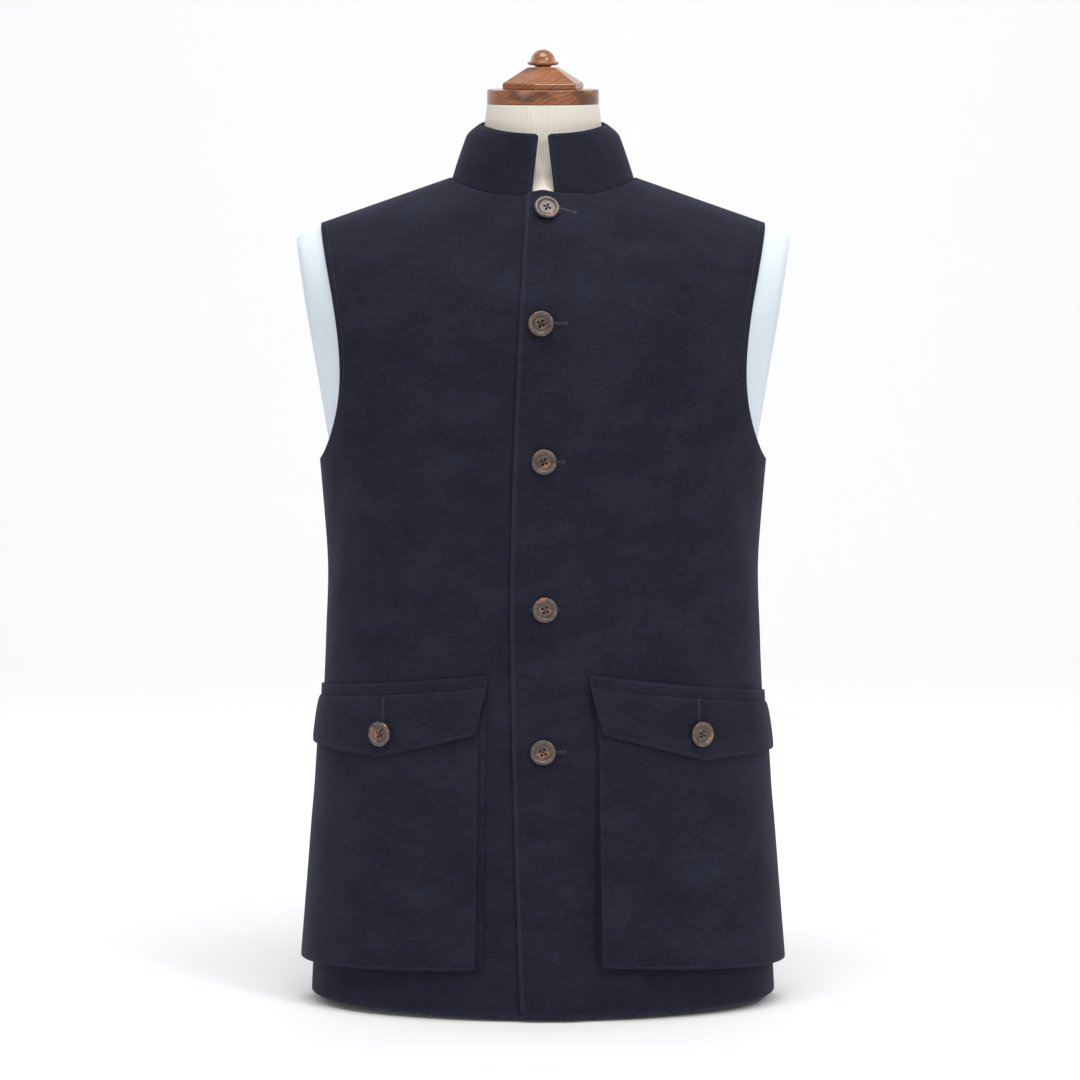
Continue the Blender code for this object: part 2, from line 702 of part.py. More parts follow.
def dress_form(cotton, jersey, wood):
    """Torso with flat shoulder ends, neck, turned neck cap, faceted block and finial."""
    lower = [0.0, 0.06, 0.12, 0.19, 0.26, 0.33, 0.40, 0.45, 0.485, 0.508]
    upper = [0.516, 0.53, 0.555, 0.58, 0.605, 0.63, 0.65, 0.668, 0.683, 0.695]
    shoulder = [0.704, 0.710, 0.716, 0.722, 0.729, 0.736, 0.743, 0.750, FORM_TOP]
    rings = [form_ring(height) for height in lower + upper + shoulder]
    add(grid_mesh("form_torso", rings, around=True, caps=True), cotton)
    base = form_ring(FORM_TOP)
    rings = []
    for height, share in NECK_PROFILE:
        left = min((height - FORM_TOP) / NECK_SETTLES, 1.0)
        settle = 1 - (1 - left)**NECK_EASING
        ring = []
        for k, point in enumerate(base):
            angle = 2 * math.pi * k / FORM_SEGMENTS
            column = Vector((math.sin(angle), -math.cos(angle), 0)) * NECK_RADIUS * share
            flat = Vector((point.x, point.y, 0))
            ring.append(flat.lerp(column, settle) + Vector((0, 0, height)))
        rings.append(ring)
    add(grid_mesh("form_neck", rings, around=True, caps=True), jersey)
    low, high = CAP_HEIGHTS
    profile = ((0.0, high), (CAP_RADIUS - CAP_EASING, high), (CAP_RADIUS, high - CAP_EASING),
               (CAP_RADIUS, low + CAP_EASING), (CAP_RADIUS - CAP_EASING, low), (0.0, low))
    turned("neck_cap", profile, wood, 40)
    block(wood)
    turned("finial", FINIAL_PROFILE, wood, 24)


def block(wood):
    """Six-sided block under the finial, upright at its foot and sloping above."""
    foot, rim, top = BLOCK_HEIGHTS
    rows = []
    for radius, height in ((BLOCK_RADIUS, foot), (BLOCK_RADIUS, rim), (BLOCK_TOP_RADIUS, top)):
        corners = [BLOCK_TURN + math.pi / 3 * k for k in range(6)]
        rows.append([Vector((radius * math.cos(a), radius * math.sin(a), height)) for a in corners])
    mesh = grid_mesh("cap_block", rows, around=True, caps=True)
    for polygon in mesh.polygons:
        polygon.use_smooth = False
    made = add(mesh, wood)
    edge = made.modifiers.new("Eased edges", "BEVEL")
    edge.width = 0.0005
    edge.segments = 1


clear_scene()
COAT = collection("nehru_waistcoat_on_form")
CUTTERS = collection("cutters")
CUTTERS.hide_render = True


def main():
    cloth = material("navy_moleskin", NAVY, 0.9)
    horn = material("brown_horn", HORN, 0.28)
    fronts(cloth)
    back(cloth)
    collar(cloth)
    for label, spec in POCKETS.items():
        pocket_patch(label, spec, cloth)
        pocket_gusset(label, spec, cloth)
        flap(label, spec, cloth)
    buttons(horn)
    dress_form(material("pale_blue_cotton", PALE_BLUE, 0.85), material("cream_jersey", CREAM, 0.95),
               material("rosewood", ROSEWOOD, 0.3))


main()
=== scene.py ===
"""A navy nehru waistcoat buttoned up on a limbless tailor's dress form.

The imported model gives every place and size. The cloth is cut again here from the same body
surface as finer sheets with turned edges, soft creases, stitching and buttonholes; the buttons
are turned in mottled horn and the form gets its cotton, ribbed jersey and rosewood.
"""

import math

import bmesh
import bpy
import numpy as np
from mathutils import Matrix, Vector


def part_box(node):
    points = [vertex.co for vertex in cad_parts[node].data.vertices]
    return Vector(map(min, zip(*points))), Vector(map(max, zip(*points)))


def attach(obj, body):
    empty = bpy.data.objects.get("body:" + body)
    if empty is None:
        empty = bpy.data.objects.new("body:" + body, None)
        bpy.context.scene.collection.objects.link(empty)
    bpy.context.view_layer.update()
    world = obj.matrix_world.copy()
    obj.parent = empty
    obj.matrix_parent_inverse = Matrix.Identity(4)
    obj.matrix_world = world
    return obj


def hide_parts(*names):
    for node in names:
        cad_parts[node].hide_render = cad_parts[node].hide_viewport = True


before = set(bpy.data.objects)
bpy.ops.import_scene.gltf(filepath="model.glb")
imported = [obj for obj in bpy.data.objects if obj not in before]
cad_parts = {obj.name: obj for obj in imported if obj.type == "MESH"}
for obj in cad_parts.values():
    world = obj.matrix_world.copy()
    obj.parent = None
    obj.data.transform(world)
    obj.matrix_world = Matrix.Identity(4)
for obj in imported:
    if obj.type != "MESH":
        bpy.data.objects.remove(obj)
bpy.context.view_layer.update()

bl_info = {
    "name": "Nehru waistcoat on a dress form",
    "version": (1, 0, 0),
    "blender": (4, 5, 0),
    "location": "View3D > Sidebar > Waistcoat",
    "description": "Builds a stand-collar waistcoat, its trims and the dress form under it",
    "category": "Object",
}

# Body surface: outer half-width and half-depths by height, in metres
HALF_WIDTH = ((0.0, 0.2180), (0.14, 0.2112), (0.281, 0.2046), (0.365, 0.2004), (0.42, 0.2006),
              (0.504, 0.2068), (0.570, 0.2145), (0.650, 0.2325), (0.72, 0.2490), (0.80, 0.268))
FRONT_DEPTH = ((0.0, 0.1315), (0.20, 0.1270), (0.365, 0.1215), (0.50, 0.1235), (0.60, 0.1265),
               (0.72, 0.1265), (0.80, 0.1250))
BACK_DEPTH = ((0.0, 0.1260), (0.20, 0.1180), (0.365, 0.1060), (0.50, 0.1140), (0.60, 0.1240),
              (0.72, 0.1240), (0.80, 0.1200))
CLOTH = 0.0018
POCKET_CLOTH = 0.0016
ROUNDNESS = 2.1
CHEST = 0.58
RIDGE_TOP = 0.7920
RIDGE_SLOPE = 0.35
SHOULDER_ROUNDNESS = 2.2
SHOULDER_LENGTH = 0.27
GIRTH = 0.17

# Hem, armholes, neckline and front overlap
HEM = 0.0065
HEM_DROP = 0.0030
ARMPIT = 0.504
ARMHOLE_STRAIGHT = 0.66
FRONT_ARMHOLE_TURN = 55.0
BACK_ARMHOLE_TURN = 125.0
ARMHOLE_ROUNDNESS = 2.2
LOW_ROWS = 110
TOP_PULL = 1.5
NECK_HALF_WIDTH = 0.0855
NECK_FRONT = 0.0740
NECK_BACK = 0.0660
LAP_WIDEST = 0.0295
LAP_WIDEST_HEIGHT = 0.38
LAP_TOP_HEIGHT = 0.756
LAP_AT_NECK = 0.0147
LAP_AT_HEM = 0.0206
LAP_LIFT = CLOTH + 0.0013
LAP_CORNER = 0.007
LAP_TOP_CORNER = 0.0025
UNDERLAP = 0.018

# Stand collar
COLLAR_INSET = CLOTH + 0.0009
COLLAR_TOP_HALF_WIDTH = 0.0648
COLLAR_TOP_FRONT = 0.0650
COLLAR_TOP_BACK = 0.0620
COLLAR_TOP_HEIGHTS = (0.8063, 0.8125, 0.8180)
COLLAR_GAP_BOTTOM = 0.0102
COLLAR_GAP_TOP = 0.0038
COLLAR_CORNER = 0.0032
COLLAR_RISE = 0.052
COLLAR_TUCK = 0.0016
COLLAR_CURL = 0.0085
COLLAR_CURL_START = 0.78
COLLAR_CURL_POWER = 1.6

# Bellows pockets on the wearer's right and left
POCKETS = {
    "right": {"side": -1, "strip_turn": 13.5, "inner_turn": 15.4, "top": (0.3175, 0.2958),
              "bottom": (0.0475, 0.0385), "flare": 0.0070},
    "left": {"side": 1, "strip_turn": 11.1, "inner_turn": 13.2, "top": (0.3184, 0.2893),
             "bottom": (0.0505, 0.0365), "flare": 0.0025},
}
POCKET_OUTER_TURN = 86.0
POCKET_SPREAD = 0.375
POCKET_DEPTH_TOP = 0.0018
POCKET_DEPTH_BOTTOM = 0.0100
POCKET_CORNER = 0.004
STRIP_HEIGHT = 0.0120
MOUTH_DROP = 0.0130
FLAP_EDGE = 0.0430
FLAP_POINT = 0.0565
FLAP_LIFT = 0.0070
FLAP_CORNER = 0.0065
REST = 0.0009
GUSSET_FOLD = 0.0060
POCKET_WIDTH = 0.205
POCKET_HEIGHT = 0.25
MITRE_RUNS = (((0.965, 0.100), (0.875, 0.006)), ((0.975, 0.125), (0.700, 0.125)))

# Buttons, and each front buttonhole's start beside its button and slope
BUTTON_RADIUS = 0.0115
BUTTON_THICKNESS = 0.0036
BUTTON_HOLE_RADIUS = 0.00125
BUTTON_HOLE_SPACING = 0.0038
BUTTONHOLES = ((-0.0008, 0.33), (-0.0030, 0.03), (-0.0080, 0.0), (-0.0130, 0.0), (-0.0060, 0.0))
FLAP_SLIT = 0.0310
FLAP_SLIT_ASIDE = 0.0037
SLIT_THICKNESS = 0.0002
SLIT_HALF_WIDTH = 0.00062
FLAP_HOLE_LENGTH = 0.022
EYE_PLACE = 0.0012
SEWING_RADIUS = 0.00019
BUTTON_SEGMENTS = 64
BUTTON_FACE = 0.60
BUTTON_OUTLINE = ((0.54, 0.60), (0.66, 0.62), (0.73, 0.93), (0.80, 1.0), (0.93, 0.98), (1.0, 0.72),
                  (1.0, 0.38), (0.86, 0.08), (0.5, 0.0))
HORN_STEP = (0.31, 0.17, 0.23)

# Stitching: thread, its lift off the cloth, and where the runs stop
THREAD_LIFT = 0.00008
COAT_THREAD = 0.00042
POCKET_THREAD = 0.00028
POCKET_STITCH = 0.0022
POCKET_STITCH_END = 0.003
ARMHOLE_STITCH_END = 0.006
FLAP_STITCH_COLUMNS = 40

# Dress form under the coat
FORM_HALF_WIDTH = ((0.0, 0.188), (0.12, 0.190), (0.33, 0.166), (0.47, 0.190), (0.53, 0.2010),
                   (0.60, 0.2145), (0.65, 0.2285), (0.72, 0.2460), (0.80, 0.264))
FORM_FRONT = ((0.0, 0.104), (0.12, 0.106), (0.33, 0.094), (0.47, 0.112), (0.60, 0.1215),
              (0.72, 0.1220), (0.80, 0.1200))
FORM_BACK = ((0.0, 0.100), (0.12, 0.104), (0.33, 0.080), (0.47, 0.100), (0.60, 0.1125),
             (0.72, 0.1150), (0.80, 0.1150))
FORM_RIDGE_DROP = 0.0024
FORM_TOP = 0.7565
JERSEY_HEM = 0.7350
JERSEY = 0.0006
PLATE_TOP = (0.2282, 0.7130)
PLATE_FOOT = (0.2018, 0.5330)
PLATE_EDGE = 0.0022
NECK_PROFILE = ((0.7568, 0.600), (0.7585, 0.600), (0.7610, 0.600), (0.7650, 0.600), (0.7730, 0.600),
                (0.7850, 0.572), (0.8000, 0.550), (0.8157, 0.535), (0.8315, 0.516))
NECK_RADIUS = 0.1
NECK_SETTLES = 0.0165
NECK_EASING = 3
CAP_RADIUS = 0.0516
BLOCK_RADIUS = 0.0394
BLOCK_TOP_RADIUS = 0.0152
BLOCK_HEIGHTS = (0.8454, 0.8506, 0.8652)
BLOCK_TURN = math.radians(19)
FINIAL_PROFILE = ((0.0, 0.8817), (0.0045, 0.8808), (0.0083, 0.8783), (0.0106, 0.8748),
                  (0.0112, 0.8716), (0.0119, 0.8709), (0.0144, 0.8702), (0.0144, 0.8680),
                  (0.0125, 0.8671), (0.0074, 0.8667), (0.0074, 0.8655), (0.0, 0.8655))


# ---------------------------------------------------------------- settings

def colour_setting(name, description, default):
    return bpy.props.FloatVectorProperty(name=name, description=description, subtype="COLOR", size=3,
                                         default=default, min=0.0, max=1.0)


def length_setting(name, description, default, least, most):
    return bpy.props.FloatProperty(name=name, description=description, subtype="DISTANCE",
                                   unit="LENGTH", default=default, min=least, max=most)


class ClothSettings(bpy.types.PropertyGroup):
    """What a maker would choose about the cloth and its sewing."""

    colour: colour_setting(
        "Cloth colour", "Colour of the moleskin", (0.0092, 0.0098, 0.0185))
    # Edge colour: a painted highlight on turned edges and seams, and also scuffed pile there.
    edge_colour: colour_setting(
        "Edge colour", "Colour where the pile is rubbed on turned edges", (0.028, 0.031, 0.058))
    thread_colour: colour_setting(
        "Thread colour", "Colour of the sewing thread", (0.015, 0.017, 0.033))
    stitch_pitch: length_setting(
        "Stitch pitch", "Length of one stitch and its gap", 0.0028, 0.001, 0.006)
    edge_stitch: length_setting(
        "Edge stitch", "Distance of the edge stitching from the edge", 0.0032, 0.001, 0.01)
    crease_depth: bpy.props.FloatProperty(
        name="Crease depth", description="Strength of the soft creases in the cloth",
        subtype="FACTOR", default=1.0, min=0.0, max=2.0)


class TrimSettings(bpy.types.PropertyGroup):
    """Buttons and buttonholes."""

    horn_light: colour_setting(
        "Light horn", "Lightest streaks of the horn", (0.25, 0.155, 0.105))
    horn_dark: colour_setting(
        "Dark horn", "Darkest streaks of the horn", (0.022, 0.013, 0.010))
    hole_turn: bpy.props.FloatProperty(
        name="Hole turn", description="How far each button's holes are turned", subtype="ANGLE",
        default=math.radians(18), min=-math.pi, max=math.pi)
    slit_length: length_setting(
        "Buttonhole length", "Length of a worked buttonhole", 0.026, 0.01, 0.04)


class FormSettings(bpy.types.PropertyGroup):
    """Covers and wood of the dress form."""

    cotton: colour_setting(
        "Cotton", "Cotton that covers the torso", (0.66, 0.73, 0.79))
    jersey: colour_setting(
        "Jersey", "Ribbed jersey round the neck", (0.70, 0.655, 0.56))
    wood_light: colour_setting(
        "Light wood", "Early wood of the neck cap", (0.40, 0.140, 0.044))
    wood_dark: colour_setting(
        "Dark wood", "Dark grain of the neck cap", (0.060, 0.020, 0.010))


class StageSettings(bpy.types.PropertyGroup):
    """Floor, light and camera."""

    floor_colour: colour_setting(
        "Floor colour", "Colour of the pale floor", (0.86, 0.86, 0.86))
    camera_distance: length_setting(
        "Camera distance", "From the camera to the shoulders", 4.9, 1.0, 20.0)
    camera_aside: length_setting(
        "Camera aside", "How far the camera stands to the wearer's left", -0.0028, -1.0, 1.0)
    camera_height: length_setting(
        "Camera height", "Height of the camera over the finial", 0.081, -1.0, 5.0)
    camera_lens: bpy.props.FloatProperty(
        name="Lens", description="Focal length in millimetres", default=176.9, min=20.0, max=400.0)
    camera_pitch: bpy.props.FloatProperty(
        name="Pitch", description="How far the camera looks down", subtype="ANGLE",
        default=math.radians(6.23), min=-1.5, max=1.5)


# ---------------------------------------------------------------- body surface

def through(table, at):
    """A smooth curve through (place, value) pairs, read at an array of places."""
    xs, ys = np.array(table).T
    slopes = np.empty_like(ys)
    slopes[1:-1] = (ys[2:] - ys[:-2]) / (xs[2:] - xs[:-2])
    slopes[0] = (ys[1] - ys[0]) / (xs[1] - xs[0])
    slopes[-1] = (ys[-1] - ys[-2]) / (xs[-1] - xs[-2])
    at = np.asarray(at, float)
    left = np.clip(np.searchsorted(xs, at, "right") - 1, 0, len(xs) - 2)
    span = xs[left + 1] - xs[left]
    t = np.clip((at - xs[left]) / span, 0.0, 1.0)
    return ((2 * t**3 - 3 * t**2 + 1) * ys[left] + (t**3 - 2 * t**2 + t) * slopes[left] * span
            + (3 * t**2 - 2 * t**3) * ys[left + 1] + (t**3 - t**2) * slopes[left + 1] * span)


def ease(value):
    t = np.clip(value, 0.0, 1.0)
    return t * t * (3 - 2 * t)


def mix(a, b, t):
    return a + (b - a) * t


def signed_power(value, exponent):
    return np.sign(value) * np.abs(value) ** exponent


def half_width(height):
    return through(HALF_WIDTH, height) - CLOTH


def half_depth(height, back):
    return np.where(back, through(BACK_DEPTH, height), through(FRONT_DEPTH, height)) - CLOTH


def ridge(x):
    return RIDGE_TOP - RIDGE_SLOPE * np.abs(x)


def on_body(turn, rise):
    """Points of the cloth's inner face at arrays of turns (degrees) and rises."""
    turn, rise = np.broadcast_arrays(np.asarray(turn, float), np.asarray(rise, float))
    sine, cosine = np.sin(np.radians(turn)), np.cos(np.radians(turn))
    across = signed_power(sine, 2 / ROUNDNESS)
    along = signed_power(cosine, 2 / ROUNDNESS)
    upper = np.clip(rise, 0.0, 1.2)
    climb = signed_power(np.sin(upper * np.pi / 2), 2 / SHOULDER_ROUNDNESS)
    closing = np.cos(upper * np.pi / 2)
    height = np.where(rise > 0, CHEST, CHEST * (1 + rise))
    for _ in range(12):
        shoulder = mix(CHEST, ridge(half_width(height) * across), climb)
        height = np.where(rise > 0, shoulder, height)
    depth = half_depth(height, cosine < 0)
    return np.stack((half_width(height) * across, -depth * along * closing, height), axis=-1)


def unit(vectors):
    return vectors / np.maximum(np.linalg.norm(vectors, axis=-1, keepdims=True), 1e-12)


def normal_at(turn, rise):
    turn, rise = np.asarray(turn, float), np.asarray(rise, float)
    step_turn = on_body(turn + 0.6, rise) - on_body(turn - 0.6, rise)
    step_rise = on_body(turn, rise + 0.004) - on_body(turn, rise - 0.004)
    return unit(np.cross(step_turn, step_rise))


def raised(turn, rise, lift):
    """Points that stand clear of the cloth's inner face by a lift."""
    return on_body(turn, rise) + normal_at(turn, rise) * np.asarray(lift)[..., None]


def rise_at(x, height):
    height = np.asarray(height, float)
    climb = np.clip((height - CHEST) / (ridge(x) - CHEST), 0.0, 1.0)
    upper = np.arcsin(climb ** (SHOULDER_ROUNDNESS / 2)) * 2 / np.pi
    return np.where(height <= CHEST, height / CHEST - 1, upper)


def turn_at(x, height, back=False):
    x = np.asarray(x, float)
    across = np.clip(np.abs(x) / half_width(height), 0.0, 1.0) ** (ROUNDNESS / 2)
    turn = np.degrees(np.arcsin(across))
    turn = 180 - turn if back else turn
    return np.where(x < 0, -turn, turn)


def neckline(angle, back=False):
    """Turn and rise of the neckline at angles round the neck from its middle."""
    angle = np.radians(np.asarray(angle, float))
    x = NECK_HALF_WIDTH * np.sin(angle)
    wanted = (NECK_BACK if back else NECK_FRONT) * np.cos(angle)
    low, high = np.full_like(x, CHEST), ridge(x)
    for _ in range(40):
        height = (low + high) / 2
        width = np.clip(np.abs(x) / half_width(height), 0, 1)
        climb = (height - CHEST) / (ridge(x) - CHEST)
        depth = (half_depth(height, back) * (1 - width**ROUNDNESS) ** (1 / ROUNDNESS)
                 * np.sqrt(np.maximum(1 - climb**SHOULDER_ROUNDNESS, 0.0)))
        deeper = depth > wanted
        low = np.where(deeper, height, low)
        high = np.where(deeper, high, height)
    return np.stack((turn_at(x, height, back), rise_at(x, height)), axis=-1)


def hem_height(turn):
    return HEM - HEM_DROP * np.cos(np.radians(turn)) ** 2


def soft(value, centre, width):
    return np.exp(-(((value - centre) / width) ** 2))


def creases(turn, rise):
    """Soft troughs and ridges, in metres along the normal."""
    side = np.abs(np.where(np.abs(turn) > 180, 360 - np.abs(turn), turn))
    front = side < 90
    height = np.where(rise > 0, CHEST + rise * 0.15, CHEST * (1 + rise))
    lift = 0.0011 * np.sin(side * 0.11 + 1.2) * ease((0.34 - height) / 0.30)
    lift = lift - 0.0012 * soft(side + (height - 0.50) * 160, 62, 7) * soft(height, 0.47, 0.06)
    lift = lift + 0.0009 * soft(side + (height - 0.50) * 120, 50, 8) * soft(height, 0.44, 0.07)
    lift = lift - 0.0008 * soft(side - (height - 0.66) * 110, 44, 6) * soft(height, 0.66, 0.07)
    lift = lift + np.where(front, 0.0006, 0.0010) * np.sin(height * 46 + side * 0.05) * soft(side, 78, 20) \
        * soft(height, 0.38, 0.08)
    lift = lift - np.where(front, 0.0, 0.0014) * soft(side, 150, 9) * soft(height, 0.30, 0.16)
    lift = lift + np.where(front, 0.0, 0.0012) * soft(side, 166, 8) * soft(height, 0.34, 0.14)
    return lift * bpy.context.scene.waistcoat_cloth.crease_depth


# ---------------------------------------------------------------- panel outlines

def rows_up(hem, count):
    return np.linspace(hem, ARMPIT, count + 1)


def side_edge(hem_turn, armhole_turn, top_rise, low, arm, shoulder):
    """Up the side seam and round the armhole to the shoulder, as (turn, rise) pairs."""
    heights = rows_up(hem_height(hem_turn), low)
    seam = np.stack((np.full(low + 1, hem_turn), rise_at(0.2, heights)), axis=-1)
    angle = np.pi / 2 * np.arange(1, arm + 1) / arm
    down = np.maximum(np.cos(angle), 0.0) ** (2 / ARMHOLE_ROUNDNESS)
    down[-1] = 0.0
    out = 1 - np.sin(angle) ** (2 / ARMHOLE_ROUNDNESS)
    scoop = np.stack((armhole_turn + (hem_turn - armhole_turn) * out,
                      rise_at(0.195, mix(ARMHOLE_STRAIGHT, ARMPIT, down))), axis=-1)
    rises = mix(scoop[-1, 1], top_rise, np.arange(1, shoulder + 1) / shoulder)
    straight = np.stack((np.full(shoulder, armhole_turn), rises), axis=-1)
    return np.concatenate((seam, scoop, straight))


def centre_edge(reach, hem, top_rise, low, upper):
    rises = rise_at(0.0, rows_up(hem, low))
    rises = np.concatenate((rises, mix(rises[-1], top_rise, np.arange(1, upper + 1) / upper)))
    heights = on_body(np.zeros_like(rises), rises)[:, 2]
    return np.stack((turn_at(reach(heights), heights), rises), axis=-1)


def coons(bottom, top, left, right):
    """A grid of (turn, rise) pairs between four edges; the top one acts only above the armpit."""
    row = np.arange(len(left))[:, None, None]
    t = np.clip((row - LOW_ROWS) / (len(left) - 1 - LOW_ROWS), 0, 1) ** TOP_PULL
    s = np.linspace(0, 1, len(bottom))[None, :, None]
    ruled = mix(bottom[None], top[None], t) + mix(left[:, None], right[:, None], s)
    corners = mix(mix(bottom[0], bottom[-1], s), mix(top[0], top[-1], s), t)
    return ruled - corners


def lap_reach(height):
    """How far the top front passes the centre line at a height."""
    above = np.clip((height - LAP_WIDEST_HEIGHT) / (LAP_TOP_HEIGHT - LAP_WIDEST_HEIGHT), 0, 1) ** 1.6
    below = np.clip((LAP_WIDEST_HEIGHT - height) / (LAP_WIDEST_HEIGHT - HEM), 0, 1) ** 1.6
    return LAP_WIDEST - (LAP_WIDEST - LAP_AT_NECK) * above - (LAP_WIDEST - LAP_AT_HEM) * below


def cut_back(along, radius):
    """How much a corner's arc takes off an edge, a distance along from the corner."""
    left = np.clip(radius - along, 0, radius)
    return radius - np.sqrt(np.maximum(radius**2 - left**2, 0.0))


def lap_edge(height):
    """The lap's free edge with its lower corner rounded."""
    return -(lap_reach(height) - cut_back(height - hem_height(0), LAP_CORNER))


def lap_lift(x):
    return LAP_LIFT * ease((0.042 - x) / 0.012)


def button_dimples(points):
    """The cloth is held down a little round each button."""
    held = np.zeros(points.shape[:-1])
    for number in range(1, 6):
        centre = middle(f"button_{number}")
        away = np.linalg.norm(points - centre, axis=-1)
        held -= 0.0007 * np.exp(-((away / 0.016) ** 2))
        x, z = points[..., 0] - centre[0], points[..., 2] - centre[2]
        held -= 0.0005 * np.exp(-((z / 0.006) ** 2)) * np.exp(-(((x - 0.02) / 0.02) ** 2))
    return held


def middle(node):
    low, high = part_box(node)
    return np.array((low + high) / 2)


def top_edge(start_angle, shoulder_turn, shoulder_rise, neck, shoulder):
    around = neckline(np.linspace(start_angle, 89.5, neck + 1))
    turns = np.linspace(around[-1, 0], shoulder_turn, shoulder + 1)
    seam = np.stack((turns, np.full(shoulder + 1, shoulder_rise)), axis=-1)
    return np.concatenate((around[:-1], seam))


def front_grid(reach, overlap_angle):
    neck, shoulder, low, arm, upper = 36, 40, 110, 32, 28
    shoulder_rise = 1 - 0.0010
    seam_turn = 90 - 0.08
    top = top_edge(overlap_angle, FRONT_ARMHOLE_TURN, shoulder_rise, neck, shoulder)
    left = centre_edge(reach, hem_height(0), top[0, 1], low, arm + upper)
    left[-1] = top[0]
    right = side_edge(seam_turn, FRONT_ARMHOLE_TURN, shoulder_rise, low, arm, upper)
    turns = np.linspace(left[0, 0], seam_turn, neck + shoulder + 1)
    bottom = np.stack((turns, rise_at(0.0, hem_height(turns))), axis=-1)
    return coons(bottom, top, left, right)


def back_grid():
    """The whole back, from the wearer's left side round to the right."""
    neck, shoulder, low, arm, upper = 26, 38, 110, 32, 28
    shoulder_rise = 1 - 0.0010
    seam_turn = 90 + 0.08
    side = side_edge(seam_turn, BACK_ARMHOLE_TURN, shoulder_rise, low, arm, upper)
    around = neckline(np.linspace(89.5, 0, neck + 1), True)
    around[-1, 0] = 180.0
    turns = np.linspace(BACK_ARMHOLE_TURN, around[0, 0], shoulder + 1)
    seam = np.stack((turns, np.full(shoulder + 1, shoulder_rise)), axis=-1)
    top = np.concatenate((seam[:-1], around))
    centre = centre_edge(lambda h: np.zeros_like(h), hem_height(180), top[-1, 1], low, arm + upper)
    centre[:, 0] = 180.0
    turns = np.linspace(seam_turn, 180, len(top))
    bottom = np.stack((turns, rise_at(0.0, hem_height(turns))), axis=-1)
    half = coons(bottom, top, side, centre)
    other = half[:, -2::-1].copy()
    other[..., 0] = 360 - other[..., 0]
    return np.concatenate((half, other), axis=1)


# ---------------------------------------------------------------- cloth pieces

OUTSIDES = {}


def border_distance(points, free):
    """Distance of every grid point from the nearest of the free edges (low, high, left, right)."""
    away = np.full(points.shape[:2], 1.0)
    along_rows = np.linalg.norm(np.diff(points, axis=0), axis=-1)
    along_columns = np.linalg.norm(np.diff(points, axis=1), axis=-1)
    rows, columns = points.shape[:2]
    down = np.concatenate((np.zeros((1, columns)), np.cumsum(along_rows, axis=0)))
    over = np.concatenate((np.zeros((rows, 1)), np.cumsum(along_columns, axis=1)), axis=1)
    edges = {"low": down, "high": down[-1:] - down, "left": over, "right": over[:, -1:] - over}
    for edge in free:
        away = np.minimum(away, edges[edge])
    return away


def ring_of(rows, columns):
    """Grid places once round the edge, anticlockwise."""
    low = [(0, i) for i in range(columns)]
    right = [(j, columns - 1) for j in range(1, rows)]
    high = [(rows - 1, i) for i in range(columns - 2, -1, -1)]
    left = [(j, 0) for j in range(rows - 2, 0, -1)]
    return low + right + high + left


def cloth_piece(name, outer, inner, uv, edge_highlight_and_wear, look, turn_in=0.0006):
    """A closed piece of cloth between two grids, its edges rounded as turned cloth is."""
    rows, columns = outer.shape[:2]
    ring = np.array(ring_of(rows, columns))
    inside = np.stack((np.clip(ring[:, 0], 1, rows - 2), np.clip(ring[:, 1], 1, columns - 2)), axis=-1)
    rims = []
    for grid in (outer, inner):
        edge = grid[ring[:, 0], ring[:, 1]].copy()
        towards = unit(grid[inside[:, 0], inside[:, 1]] - edge)
        rims.append(edge)
        grid[ring[:, 0], ring[:, 1]] = edge + towards * turn_in
    rim = (rims[0] + rims[1]) / 2
    count = rows * columns
    points = np.concatenate((outer.reshape(-1, 3), inner.reshape(-1, 3), rim))
    index = np.arange(count).reshape(rows, columns)
    quads = np.stack((index[:-1, :-1], index[:-1, 1:], index[1:, 1:], index[1:, :-1]), axis=-1).reshape(-1, 4)
    around = ring[:, 0] * columns + ring[:, 1]
    beside = np.roll(around, -1)
    hoop = 2 * count + np.arange(len(ring))
    hoop_next = np.roll(hoop, -1)
    faces = np.concatenate((quads, quads[:, ::-1] + count,
                            np.stack((beside, around, hoop, hoop_next), axis=-1),
                            np.stack((hoop_next, hoop, around + count, beside + count), axis=-1)))
    mesh = bpy.data.meshes.new(name)
    mesh.from_pydata(points.tolist(), [], faces.tolist())
    mesh.update()
    flat_uv = uv.reshape(-1, 2)
    all_uv = np.concatenate((flat_uv, flat_uv, flat_uv[around]))
    # The edge factor paints the cloth paler near edges and seams: a painted highlight, and also scuffed pile.
    # The inner face gets less of it.
    tone_shift = edge_highlight_and_wear.reshape(-1)
    all_tone_shift = np.concatenate((tone_shift, tone_shift * 0.3, tone_shift[around]))
    layer = mesh.uv_layers.new(name="Cloth")
    corners = np.empty(len(mesh.loops), int)
    mesh.loops.foreach_get("vertex_index", corners)
    layer.data.foreach_set("uv", all_uv[corners].ravel())
    attribute = mesh.attributes.new("edge", "FLOAT", "POINT")
    attribute.data.foreach_set("value", all_tone_shift.astype(np.float32))
    mesh.shade_smooth()
    return link(mesh, look)


def mesh_from(build, name):
    mesh = bpy.data.meshes.new(name)
    build.to_mesh(mesh)
    build.free()
    return mesh


def link(mesh, look):
    made = bpy.data.objects.new(mesh.name, mesh)
    if look is not None:
        mesh.materials.append(look)
    bpy.context.scene.collection.objects.link(made)
    return made


def settle(piece, slot, *nodes):
    """The piece rides on the one body and stands for CAD nodes; its slot is not used."""
    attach(piece, "root")
    if nodes:
        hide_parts(*nodes)
    return piece


def cloth_uv(pairs):
    turns = np.where(pairs[..., 1] > 0, pairs[..., 1] * SHOULDER_LENGTH + CHEST, CHEST * (1 + pairs[..., 1]))
    return np.stack((np.radians(pairs[..., 0]) * GIRTH, turns), axis=-1)


def highlit_and_worn_near(points, free, reach=0.0035):
    return np.clip(1 - border_distance(points, free) / reach, 0, 1)


